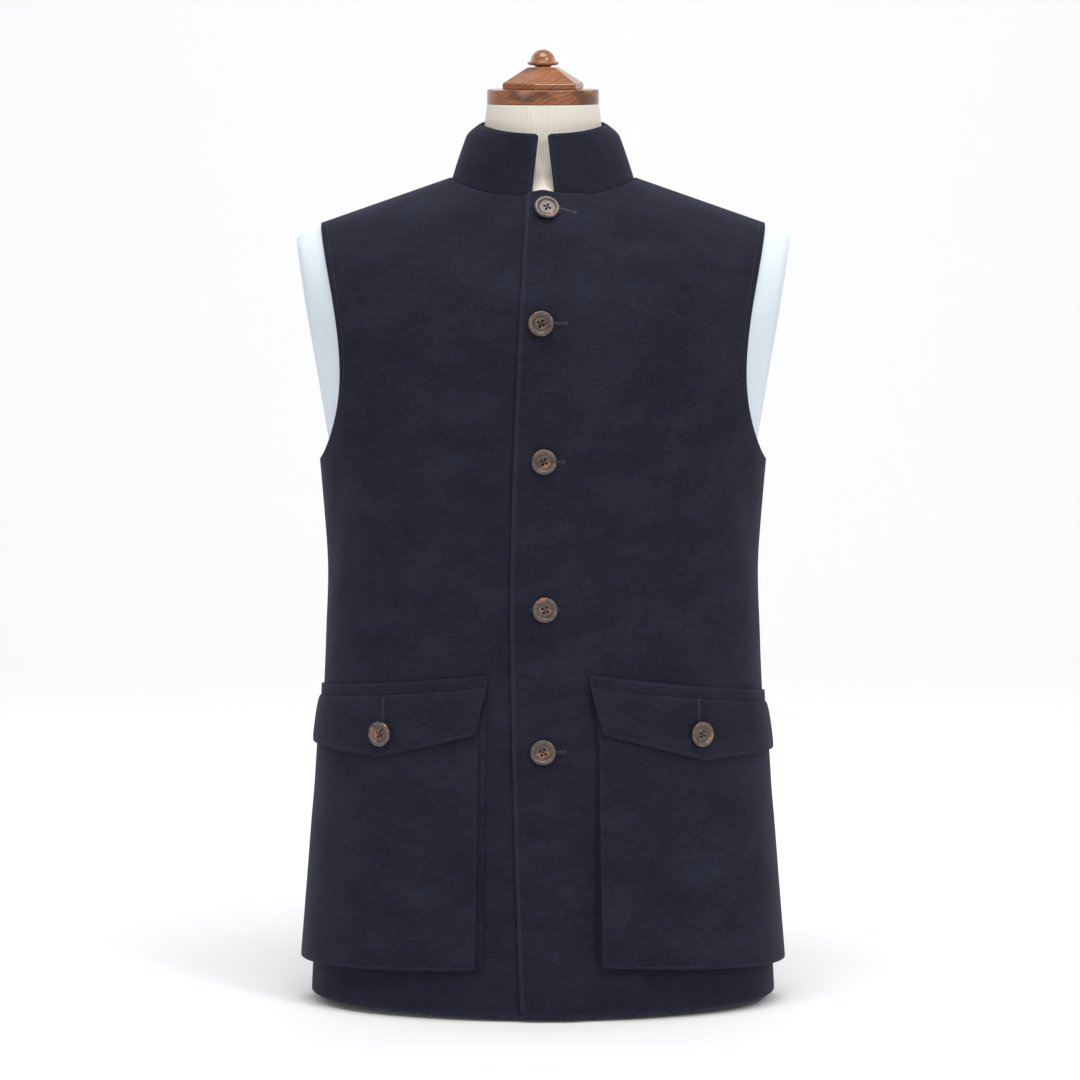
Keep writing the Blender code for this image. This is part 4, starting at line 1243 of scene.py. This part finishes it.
def build_flap(label, spec, look):
    """The pointed flap and the strip above its fold that is sewn to the coat."""
    across = even_ends(96, 0.75)
    hang, across_all = np.meshgrid(np.linspace(1, 0, 40), across, indexing="ij")
    turn, height, lift = flap_place(spec, across_all, hang**1.3)
    above = np.linspace(0, 1, 15)[1:, None]
    strip_turn = pocket_turn(spec, spec["strip_turn"], across)[None] + np.zeros_like(above)
    strip_height = mix(*spec["top"], across)[None] - STRIP_HEIGHT * (1 - above)
    strip_lift = REST + 0.00015 * np.sin(np.pi * above) + np.zeros_like(strip_turn)
    turn = np.concatenate((turn, strip_turn))
    height = np.concatenate((height, strip_height))
    lift = np.concatenate((lift, strip_lift))
    points, turn, height = ordered(spec, on_coat(turn, height, lift), turn[..., None], height[..., None])
    uv = np.concatenate((np.radians(turn) * GIRTH + 0.71, height), axis=-1)
    piece = shell(f"cut_flap_{label}", points, POCKET_CLOTH, uv, ("low", "high", "left", "right"), look)
    settle(piece, "navy_cloth", f"flap_{label}")


class WAISTCOAT_OT_pockets(bpy.types.Operator):
    """Cuts both bellows pockets: patch, gusset and pointed flap"""

    bl_idname = "waistcoat.pockets"
    bl_label = "Bellows pockets"

    def execute(self, context):
        look = finish("moleskin")
        for label, spec in POCKETS.items():
            build_patch(label, spec, look)
            build_gusset(label, spec, look)
            build_flap(label, spec, look)
        return {"FINISHED"}


# ---------------------------------------------------------------- buttons and buttonholes

def frame_at(centre):
    """A place whose own +Z points out of the cloth under a point near the coat's outside."""
    turn = turn_at(centre[0], centre[2])
    normal = Vector(normal_at(turn, rise_at(centre[0], centre[2])))
    across = Vector((0, 0, 1)).cross(normal).normalized()
    place = Matrix.Identity(4)
    for column, axis in enumerate((across, normal.cross(across), normal, Vector(centre))):
        place.col[column][:3] = axis
    return place


def lathe(name, profile, segments):
    """A closed turned mesh from (radius, height) pairs that start and end on the axis."""
    build = bmesh.new()
    rings = []
    for radius, height in profile:
        count = segments if radius > 0 else 1
        angles = [2 * math.pi * k / segments for k in range(count)]
        rings.append([build.verts.new((radius * math.cos(a), radius * math.sin(a), height)) for a in angles])
    for low, high in zip(rings, rings[1:]):
        for k in range(segments):
            corners = [low[k % len(low)], high[k % len(high)], high[(k + 1) % len(high)],
                       low[(k + 1) % len(low)]]
            build.faces.new(list(dict.fromkeys(corners)))
    bmesh.ops.recalc_face_normals(build, faces=build.faces)
    mesh = mesh_from(build, name)
    mesh.shade_smooth()
    return mesh


def rounded_profile(points, rounds=4):
    """Softens a profile's corners by cutting them again and again, its ends kept."""
    points = [Vector(point) for point in points]
    for _ in range(rounds):
        softer = [points[0]]
        for a, b in zip(points, points[1:]):
            softer += [a.lerp(b, 0.25), a.lerp(b, 0.75)]
        points = softer + [points[-1]]
    return [(point.x, point.y) for point in points]


def store(mesh, name, kind, field, values):
    attribute = mesh.attributes.new(name, kind, "POINT")
    attribute.data.foreach_set(field, values.astype(np.float32).ravel())


def drill(piece, length, spots, radius):
    """Straight holes through a piece, one at each spot."""
    build = bmesh.new()
    for x, y in spots:
        bmesh.ops.create_cone(build, cap_ends=True, segments=20, radius1=radius, radius2=radius,
                              depth=length, matrix=Matrix.Translation((x, y, 0)))
    mesh = mesh_from(build, "drill")
    tool = link(mesh, None)
    cut = piece.modifiers.new("Thread holes", "BOOLEAN")
    cut.operation, cut.object = "DIFFERENCE", tool
    graph = bpy.context.evaluated_depsgraph_get()
    made = bpy.data.meshes.new_from_object(piece.evaluated_get(graph))
    made.name = piece.data.name
    piece.modifiers.clear()
    piece.data = made
    bpy.data.objects.remove(tool)
    made.set_sharp_from_angle(angle=math.radians(40))


def tubes(name, paths, radius, look, sides=8):
    """Round threads along paths of points, closed at both ends."""
    build = bmesh.new()
    for path in paths:
        path = [Vector(point) for point in path]
        rings = []
        for k, point in enumerate(path):
            along = (path[min(k + 1, len(path) - 1)] - path[max(k - 1, 0)]).normalized()
            side = along.orthogonal() if not rings else (before - along * before.dot(along))
            side.normalize()
            before = side
            up = along.cross(side)
            angles = [2 * math.pi * i / sides for i in range(sides)]
            rings.append([build.verts.new(point + radius * (side * math.cos(a) + up * math.sin(a)))
                          for a in angles])
        for low, high in zip(rings, rings[1:]):
            for i in range(sides):
                build.faces.new((low[i], low[(i + 1) % sides], high[(i + 1) % sides], high[i]))
        build.faces.new(rings[0][::-1])
        build.faces.new(rings[-1])
    mesh = mesh_from(build, name)
    mesh.shade_smooth()
    return link(mesh, look)


def button_threads(radius_out, face):
    """Paths of the sewing through four holes: a cross of two threads each way."""
    turn = bpy.context.scene.waistcoat_trim.hole_turn
    paths = []
    for way in range(2):
        angle = math.pi / 4 + way * math.pi / 2 + turn
        along = Vector((math.cos(angle), math.sin(angle), 0))
        aside = Vector((-along.y, along.x, 0))
        for shift in (-1, 1):
            path = []
            for k in range(17):
                t = 2 * k / 16 - 1
                reach = radius_out * signed_power(t, 0.8)
                height = face + 0.00030 + 0.00016 * way - 0.0024 * abs(t) ** 6
                path.append(along * float(reach) + aside * shift * 0.00020 + Vector((0, 0, height)))
            paths.append(path)
    return paths


class WAISTCOAT_OT_buttons(bpy.types.Operator):
    """Turns the seven horn buttons and sews them on"""

    bl_idname = "waistcoat.buttons"
    bl_label = "Horn buttons"

    def execute(self, context):
        radius, thick = BUTTON_RADIUS, BUTTON_THICKNESS
        outline = [(wide * radius, high * thick) for wide, high in BUTTON_OUTLINE]
        profile = [(0.0, BUTTON_FACE * thick), *rounded_profile(outline, 3), (0.0, 0.0)]
        spacing = BUTTON_HOLE_SPACING / math.sqrt(2)
        turn = context.scene.waistcoat_trim.hole_turn
        spots = [(spacing * math.cos(math.pi / 4 + k * math.pi / 2 + turn),
                  spacing * math.sin(math.pi / 4 + k * math.pi / 2 + turn)) for k in range(4)]
        nodes = [f"button_{n}" for n in range(1, 6)] + ["flap_button_left", "flap_button_right"]
        for number, node in enumerate(nodes):
            place = frame_at(middle(node)) @ Matrix.Translation((0, 0, -thick / 2))
            piece = link(lathe(f"turned_{node}", profile, BUTTON_SEGMENTS), finish("horn"))
            drill(piece, 4 * thick, spots, BUTTON_HOLE_RADIUS)
            mesh = piece.data
            local = np.array([vert.co for vert in mesh.vertices])
            blank = local + np.array(HORN_STEP) * number
            store(mesh, "blank", "FLOAT_VECTOR", "vector", blank)
            store(mesh, "radius", "FLOAT", "value", np.hypot(local[:, 0], local[:, 1]))
            mesh.transform(place)
            settle(piece, "horn", node)
            sewing = tubes(f"sewing_{node}", button_threads(spacing, BUTTON_FACE * thick), SEWING_RADIUS,
                           finish("silk"))
            sewing.data.transform(place)
            settle(sewing, "navy_cloth")
        return {"FINISHED"}


def on_lap(x, height, extra):
    """A point on the outside of the top front."""
    turn, rise = turn_at(x, height), rise_at(x, height)
    lift = lap_lift(x)
    base = lift + creases(turn, rise) + button_dimples(raised(turn, rise, lift + CLOTH))
    return raised(turn, rise, base + CLOTH + extra)


def on_flap(spec, turn, height, extra):
    """A point on the outside of a flap."""
    fold = mix(*spec["top"], 0.5) - STRIP_HEIGHT
    down = np.clip((fold - height) / FLAP_POINT, 0, 1)
    lift = mix(REST, FLAP_LIFT, down**0.4) + POCKET_CLOTH + extra
    return on_coat(turn, height, lift)


def slit_shade_strip(name, centre_line, half_width, aside, out):
    """A thin near-black closed strip laid in the opening of a buttonhole, as painted shade."""
    left = centre_line + aside * half_width[:, None]
    right = centre_line - aside * half_width[:, None]
    sink = out * SLIT_THICKNESS
    loops = np.stack((left, right, right - sink, left - sink))
    count = len(centre_line)
    faces = [(side * count + k, side * count + k + 1, (side + 1) % 4 * count + k + 1,
              (side + 1) % 4 * count + k) for side in range(4) for k in range(count - 1)]
    faces += [tuple(side * count for side in range(4)),
              tuple(side * count + count - 1 for side in (3, 2, 1, 0))]
    build = bmesh.new()
    corners = [build.verts.new(point) for point in loops.reshape(-1, 3).tolist()]
    for face in faces:
        build.faces.new([corners[corner] for corner in face])
    bmesh.ops.recalc_face_normals(build, faces=build.faces)
    mesh = mesh_from(build, name)
    return settle(link(mesh, finish("slit_shade")), "navy_cloth")


def zigzag(line, aside, near, far):
    """A thread that goes back and forth between two distances beside a line."""
    steps = np.where(np.arange(len(line)) % 2 == 0, near, far)[:, None]
    path = line + aside * steps
    start = (path[0] + path[1]) / 2
    return np.concatenate((start[None], path[1:]))


def work_buttonhole(name, place_at, length, eye, look):
    """A worked buttonhole: a near-black strip in the opening as painted shade, purled edges both sides, a
    round eye and a bar.
    """
    t = np.linspace(0, 1, 60)
    line = place_at(t * length, 0.00012)
    ahead = unit(np.gradient(line, axis=0))
    out = unit(place_at(t * length, 0.002) - line)
    aside = np.cross(out, ahead)
    open_by = np.full(len(t), SLIT_HALF_WIDTH)
    if eye is not None:
        open_by = SLIT_HALF_WIDTH + 0.0008 * soft(t * length, eye, 0.0011)
    # Painted shade: the opening is a near-black strip on the cloth, not a cut.
    slit_shade_strip(f"slit_{name}", line, open_by * np.sin(np.pi * np.clip(t, 0.01, 0.99)) ** 0.3, aside, out)
    fine = np.linspace(0, 1, int(length / 0.00028))
    thread_line = place_at(fine * length, 0.00018)
    ahead = unit(np.gradient(thread_line, axis=0))
    out = unit(place_at(fine * length, 0.002) - thread_line)
    aside = np.cross(out, ahead)
    inner = 0.00066 + (0.0009 * soft(fine * length, eye, 0.0012) if eye is not None else 0.0)
    paths = [zigzag(thread_line, aside * sign, inner, inner + 0.0006) for sign in (-1, 1)]
    for end in (0, -1):
        across = np.linspace(-0.0016, 0.0016, 14)[:, None] * aside[end]
        bar = thread_line[end] + across + out[end] * 0.0001
        paths.append(zigzag(bar, np.tile(ahead[end], (14, 1)), -0.0006, 0.0006))
    lengths = [np.linalg.norm(np.diff(path[1:], axis=0), axis=-1).mean() for path in paths]
    stitch_runs(f"worked_{name}", [paths[0], paths[1]], lengths[0], 0.0008, 0.00034, look)
    stitch_runs(f"bar_{name}", paths[2:], lengths[2], 0.0014, 0.00045, look)


class WAISTCOAT_OT_buttonholes(bpy.types.Operator):
    """Works a buttonhole under every button"""

    bl_idname = "waistcoat.buttonholes"
    bl_label = "Buttonholes"

    def execute(self, context):
        outside("cut_front_left")
        length = context.scene.waistcoat_trim.slit_length
        for number, (start, slope) in enumerate(BUTTONHOLES, 1):
            centre = middle(f"button_{number}")

            def place_at(along, extra):
                x = centre[0] + start + along
                return on_lap(x, centre[2] - slope * (along + start), extra)

            work_buttonhole(f"front_{number}", place_at, length, EYE_PLACE if start < 0 else None,
                            finish("twist"))
        for label, spec in POCKETS.items():
            centre = middle(f"flap_button_{label}")
            x = centre[0] - spec["side"] * FLAP_SLIT_ASIDE

            def place_down(along, extra):
                height = centre[2] + FLAP_SLIT - along
                wanted = np.full_like(along, x)
                for _ in range(4):
                    turn = turn_at(wanted, height)
                    wanted = wanted + x - on_flap(spec, turn, height, extra)[..., 0]
                return on_flap(spec, turn, height, extra)

            work_buttonhole(f"flap_{label}", place_down, FLAP_HOLE_LENGTH, None, finish("thread"))
        return {"FINISHED"}


# ---------------------------------------------------------------- sewing

class WAISTCOAT_OT_stitching(bpy.types.Operator):
    """Sews the edges, collar, flaps, pockets and armholes with the stitch tree"""

    bl_idname = "waistcoat.stitching"
    bl_label = "Stitching"

    def execute(self, context):
        settings = context.scene.waistcoat_cloth
        pitch, away = settings.stitch_pitch, settings.edge_stitch
        runs = {"fronts": [inset_run("cut_front_left", "left", away, 0.004, 0.002),
                           inset_run("cut_front_right", "right", away, 0.004, 0.002)],
                "collar": [inset_run("cut_collar", "high", away, away, away),
                           inset_run("cut_collar", "left", away, 0.002, away),
                           inset_run("cut_collar", "right", away, 0.002, away)]}
        above = slice(LOW_ROWS, None)
        runs["armholes"] = [inset_run(f"cut_{name}", edge, 2 * away, ARMHOLE_STITCH_END,
                                      ARMHOLE_STITCH_END, above)
                            for name, edge in (("front_left", "right"), ("front_right", "left"),
                                               ("back", "left"), ("back", "right"))]
        ends = slice(None, FLAP_STITCH_COLUMNS)
        for label in POCKETS:
            flap, patch = f"cut_flap_{label}", f"cut_pocket_{label}"
            runs[f"flap_{label}"] = [inset_run(flap, "low", away, away, away),
                                     inset_run(flap, "left", away, away, 0.002, ends),
                                     inset_run(flap, "right", away, 0.002, away, ends),
                                     inset_run(flap, "high", POCKET_STITCH, away, away)]
            runs[f"pocket_{label}"] = [inset_run(patch, edge, POCKET_STITCH, POCKET_STITCH_END,
                                                 POCKET_STITCH_END) for edge in ("low", "left", "right")]
        runs["pocket_right"] += [on_piece("cut_pocket_right", start, stop) for start, stop in MITRE_RUNS]
        for name, paths in runs.items():
            thickness = COAT_THREAD if name in ("fronts", "collar", "armholes") else POCKET_THREAD
            stitch_runs(f"stitches_{name}", paths, pitch, 0.8 * pitch, thickness, finish("thread"))
        return {"FINISHED"}


# ---------------------------------------------------------------- dress form

def plate_limit(height):
    share = (height - PLATE_FOOT[1]) / (PLATE_TOP[1] - PLATE_FOOT[1])
    return np.where(share > -0.12, mix(PLATE_FOOT[0], PLATE_TOP[0], share), 1.0)


def form_rings(heights, segments):
    """Level rings of the dress form, its arms cut off flat."""
    height = np.asarray(heights)[:, None]
    top = RIDGE_TOP - FORM_RIDGE_DROP
    full = through(FORM_HALF_WIDTH, height)
    widest = np.where(height > CHEST, np.minimum(full, (top - height) / RIDGE_SLOPE), full)
    angle = np.linspace(0, 2 * np.pi, segments + 1)[None]
    sine, cosine = np.sin(angle), np.cos(angle)
    x = widest * signed_power(sine, 2 / ROUNDNESS)
    depth = np.where(cosine < 0, through(FORM_BACK, height), through(FORM_FRONT, height))
    depth = depth * np.maximum(1 - (np.abs(x) / full) ** ROUNDNESS, 0.0) ** (1 / ROUNDNESS)
    climb = np.clip((height - CHEST) / (top - RIDGE_SLOPE * np.abs(x) - CHEST), 0.0, 1.0)
    depth = depth * np.sqrt(np.maximum(1 - climb**SHOULDER_ROUNDNESS, 0.0))
    limit = plate_limit(height)
    over = (limit - np.abs(x)) / PLATE_EDGE
    held = limit - PLATE_EDGE * np.logaddexp(0, over)
    x = np.copysign(np.maximum(held, 0.0), x)
    return np.stack((x, -np.copysign(depth, cosine), height + np.zeros_like(x)), axis=-1)


def ring_mesh(name, rings, uv, tone_shift, look):
    """A closed skin through rings whose last column repeats the first, with flat caps."""
    rows, columns = rings.shape[0], rings.shape[1] - 1
    corner = np.arange(rows * columns).reshape(rows, columns)
    after = np.roll(corner, -1, axis=1)
    faces = np.stack((corner[:-1], after[:-1], after[1:], corner[1:]), axis=-1).reshape(-1, 4).tolist()
    faces += [corner[0, ::-1].tolist(), corner[-1].tolist()]
    mesh = bpy.data.meshes.new(name)
    mesh.from_pydata(rings[:, :-1].reshape(-1, 3).tolist(), [], faces)
    mesh.update()
    layer = mesh.uv_layers.new(name="Cloth")
    quads = np.stack((uv[:-1, :-1], uv[:-1, 1:], uv[1:, 1:], uv[1:, :-1]), axis=2).reshape(-1, 2)
    caps = np.concatenate((uv[0, :-1][::-1], uv[-1, :-1]))
    layer.data.foreach_set("uv", np.concatenate((quads, caps)).ravel())
    attribute = mesh.attributes.new("edge", "FLOAT", "POINT")
    attribute.data.foreach_set("value", tone_shift[:, :-1].astype(np.float32).ravel())
    mesh.shade_smooth()
    for face in mesh.polygons[-2:]:
        face.use_smooth = False
    return link(mesh, look)


class WAISTCOAT_OT_form(bpy.types.Operator):
    """Covers the torso in cotton and its neck in ribbed jersey"""

    bl_idname = "waistcoat.form"
    bl_label = "Dress form"

    def execute(self, context):
        heights = np.concatenate((np.linspace(0, 0.45, 40)[:-1], np.linspace(0.45, FORM_TOP, 110)))
        rings = form_rings(heights, 180)
        around = np.linspace(0, 2 * np.pi, 181)[None]
        uv = np.stack(np.broadcast_arrays(around * GIRTH, rings[..., 2]), axis=-1)
        limit = plate_limit(rings[..., 2])
        tone_shift = soft(np.abs(rings[..., 0]) - (limit - 0.0025), 0, 0.0012)
        torso = ring_mesh("covered_torso", rings, uv, tone_shift, finish("cotton"))
        settle(torso, "form_cotton", "form_torso")
        segments, ribs = 1080, 154
        base = form_rings([FORM_TOP], segments)[0]
        heights = np.array([height for height, _ in NECK_PROFILE])
        fine = np.concatenate((heights[:1], np.linspace(0.7575, heights[-1], 60)))
        shares = through(NECK_PROFILE, fine)[:, None]
        left = np.clip((fine - FORM_TOP) / NECK_SETTLES, 0, 1)[:, None]
        settled = 1 - (1 - left) ** NECK_EASING
        angle = np.linspace(0, 2 * np.pi, segments + 1)[None]
        rib = 0.00045 * settled * (np.abs(np.sin(angle * ribs / 2)) ** 0.7 - 1)
        x = mix(base[None, :, 0], NECK_RADIUS * shares * np.sin(angle), settled)
        y = mix(base[None, :, 1], -NECK_RADIUS * shares * np.cos(angle), settled)
        length = np.hypot(x, y)
        scale = (length + rib) / length
        neck = np.stack((x * scale, y * scale, fine[:, None] + np.zeros_like(x)), axis=-1)
        skirt = form_rings(np.linspace(JERSEY_HEM, FORM_TOP, 12), segments)
        skirt[..., :2] += unit(skirt[..., :2]) * JERSEY
        neck = np.concatenate((skirt, neck[1:]))
        rib = np.concatenate((np.zeros((12, segments + 1)), rib[1:]))
        uv = np.stack(np.broadcast_arrays(angle * 0.055, neck[..., 2]), axis=-1)
        # Painted shade for the jersey: darker where the ribs dip in.
        painted_groove_shade = np.clip(-rib / 0.00045, 0, 1) ** 2
        cover = ring_mesh("covered_neck", neck, uv, painted_groove_shade, finish("jersey"))
        settle(cover, "form_jersey", "form_neck")
        return {"FINISHED"}


class WAISTCOAT_OT_cap(bpy.types.Operator):
    """Turns the rosewood cap, cuts its six-sided block and turns the finial"""

    bl_idname = "waistcoat.cap"
    bl_label = "Neck cap"

    def execute(self, context):
        look = finish("wood")
        low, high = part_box("neck_cap")
        radius, easing = CAP_RADIUS, 0.0011
        rim = [(radius - easing * (1 - math.sin(a)), high.z - easing * (1 - math.cos(a)))
               for a in np.linspace(0, math.pi / 2, 7)]
        lower = [(r, low.z + high.z - z) for r, z in reversed(rim)]
        mesh = lathe("turned_cap", [(0.0, high.z), *rim, *lower, (0.0, low.z)], 128)
        mesh.set_sharp_from_angle(angle=math.radians(50))
        settle(link(mesh, look), "cap_wood", "neck_cap")
        foot, rim_height, top = BLOCK_HEIGHTS
        build = bmesh.new()
        rings = []
        for across, height in ((BLOCK_RADIUS, foot), (BLOCK_RADIUS, rim_height), (BLOCK_TOP_RADIUS, top)):
            angles = [BLOCK_TURN + math.pi / 3 * k for k in range(6)]
            rings.append([build.verts.new((across * math.cos(a), across * math.sin(a), height))
                          for a in angles])
        for under, over in zip(rings, rings[1:]):
            for k in range(6):
                build.faces.new((under[k], under[(k + 1) % 6], over[(k + 1) % 6], over[k]))
        build.faces.new(rings[0][::-1])
        build.faces.new(rings[-1])
        bmesh.ops.bevel(build, geom=build.edges[:], offset=0.0006, segments=3, profile=0.5,
                        affect="EDGES")
        mesh = bpy.data.meshes.new("cut_block")
        build.to_mesh(mesh)
        build.free()
        mesh.shade_flat()
        settle(link(mesh, look), "cap_wood", "cap_block")
        tops = [point for point in FINIAL_PROFILE[1:-1]]
        profile = [FINIAL_PROFILE[0], *rounded_profile(tops, 2), FINIAL_PROFILE[-1]]
        settle(link(lathe("turned_finial", profile, 96), look), "cap_wood", "finial")
        return {"FINISHED"}


# ---------------------------------------------------------------- stage

def area_light(name, place, aim, size, energy, colour=(1.0, 1.0, 1.0)):
    light = bpy.data.lights.new(name, "AREA")
    light.shape, light.size, light.energy, light.color = "DISK", size, energy, colour
    made = bpy.data.objects.new(name, light)
    made.location = place
    made.rotation_euler = (Vector(aim) - Vector(place)).to_track_quat("-Z", "Y").to_euler()
    bpy.context.scene.collection.objects.link(made)


class WAISTCOAT_OT_stage(bpy.types.Operator):
    """Sets the floor, the soft light and the camera"""

    bl_idname = "waistcoat.stage"
    bl_label = "Stage"

    def execute(self, context):
        settings = context.scene.waistcoat_stage
        bend = [(2.2 + 1.6 * math.sin(a), -0.001 + 1.6 * (1 - math.cos(a)))
                for a in np.linspace(0, math.pi / 2, 25)]
        section = [(-9.0, -0.001), *bend, (3.8, 9.0)]
        points = [(x, y, z) for y, z in section for x in (-14.0, 14.0)]
        faces = [(2 * k, 2 * k + 1, 2 * k + 3, 2 * k + 2) for k in range(len(section) - 1)]
        mesh = bpy.data.meshes.new("floor")
        mesh.from_pydata(points, [], faces)
        mesh.shade_smooth()
        paint = Finish("pale_floor", tuple(settings.floor_colour))
        colour = (*settings.floor_colour, 1.0)
        cloud = paint.noise(paint.object_place(), 3.0)
        base = paint.blend(cloud * 0.04, colour, (0.8, 0.8, 0.8, 1.0))
        paint.done(Base_Color=base, Roughness=0.9 + cloud * 0.05)
        link(mesh, paint.material)
        world = bpy.data.worlds.new("studio")
        world.use_nodes = True
        world.node_tree.nodes["Background"].inputs["Color"].default_value = (0.97, 0.985, 1.0, 1.0)
        world.node_tree.nodes["Background"].inputs["Strength"].default_value = 0.48
        context.scene.world = world
        aim = (0, 0, 0.5)
        area_light("key", (2.4, -3.0, 2.7), aim, 0.9, 50)
        area_light("fill", (-2.6, -3.0, 1.7), aim, 2.0, 18)
        area_light("left_edge", (-2.0, 0.9, 1.5), aim, 1.0, 7, (0.92, 0.96, 1.0))
        area_light("right_edge", (2.0, 0.9, 1.5), aim, 1.0, 7, (0.92, 0.96, 1.0))
        area_light("backdrop", (0, -1.0, 4.5), (0, 3.6, 1.5), 3.0, 160)
        camera = bpy.data.objects.new("camera", bpy.data.cameras.new("camera"))
        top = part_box("finial")[1].z
        camera.location = (settings.camera_aside, -settings.camera_distance, top + settings.camera_height)
        camera.rotation_euler = (math.pi / 2 - settings.camera_pitch, 0, 0)
        camera.data.lens = settings.camera_lens
        camera.data.clip_end = 60.0
        context.scene.collection.objects.link(camera)
        context.scene.camera = camera
        context.scene.view_settings.view_transform = "Standard"
        return {"FINISHED"}


# ---------------------------------------------------------------- add-on

SETTINGS = {"waistcoat_cloth": ClothSettings, "waistcoat_trim": TrimSettings,
            "waistcoat_form": FormSettings, "waistcoat_stage": StageSettings}
STEPS = (WAISTCOAT_OT_fronts, WAISTCOAT_OT_back, WAISTCOAT_OT_collar, WAISTCOAT_OT_pockets,
         WAISTCOAT_OT_buttons, WAISTCOAT_OT_buttonholes, WAISTCOAT_OT_stitching, WAISTCOAT_OT_form,
         WAISTCOAT_OT_cap, WAISTCOAT_OT_stage)


class WAISTCOAT_PT_panel(bpy.types.Panel):
    """Lists the settings and the steps"""

    bl_idname = "WAISTCOAT_PT_panel"
    bl_label = "Nehru waistcoat"
    bl_space_type = "VIEW_3D"
    bl_region_type = "UI"
    bl_category = "Waistcoat"

    def draw(self, context):
        for name, group in SETTINGS.items():
            box = self.layout.box()
            for setting in group.__annotations__:
                box.prop(getattr(context.scene, name), setting)
        for step in STEPS:
            self.layout.operator(step.bl_idname)


def register():
    for name, group in SETTINGS.items():
        bpy.utils.register_class(group)
        setattr(bpy.types.Scene, name, bpy.props.PointerProperty(type=group))
    for item in (*STEPS, WAISTCOAT_PT_panel):
        bpy.utils.register_class(item)


def unregister():
    for item in (WAISTCOAT_PT_panel, *reversed(STEPS)):
        bpy.utils.unregister_class(item)
    for name, group in SETTINGS.items():
        delattr(bpy.types.Scene, name)
        bpy.utils.unregister_class(group)


def main():
    register()
    for step in STEPS:
        group, name = step.bl_idname.split(".")
        getattr(getattr(bpy.ops, group), name)()


if __name__ == "__main__":
    main()
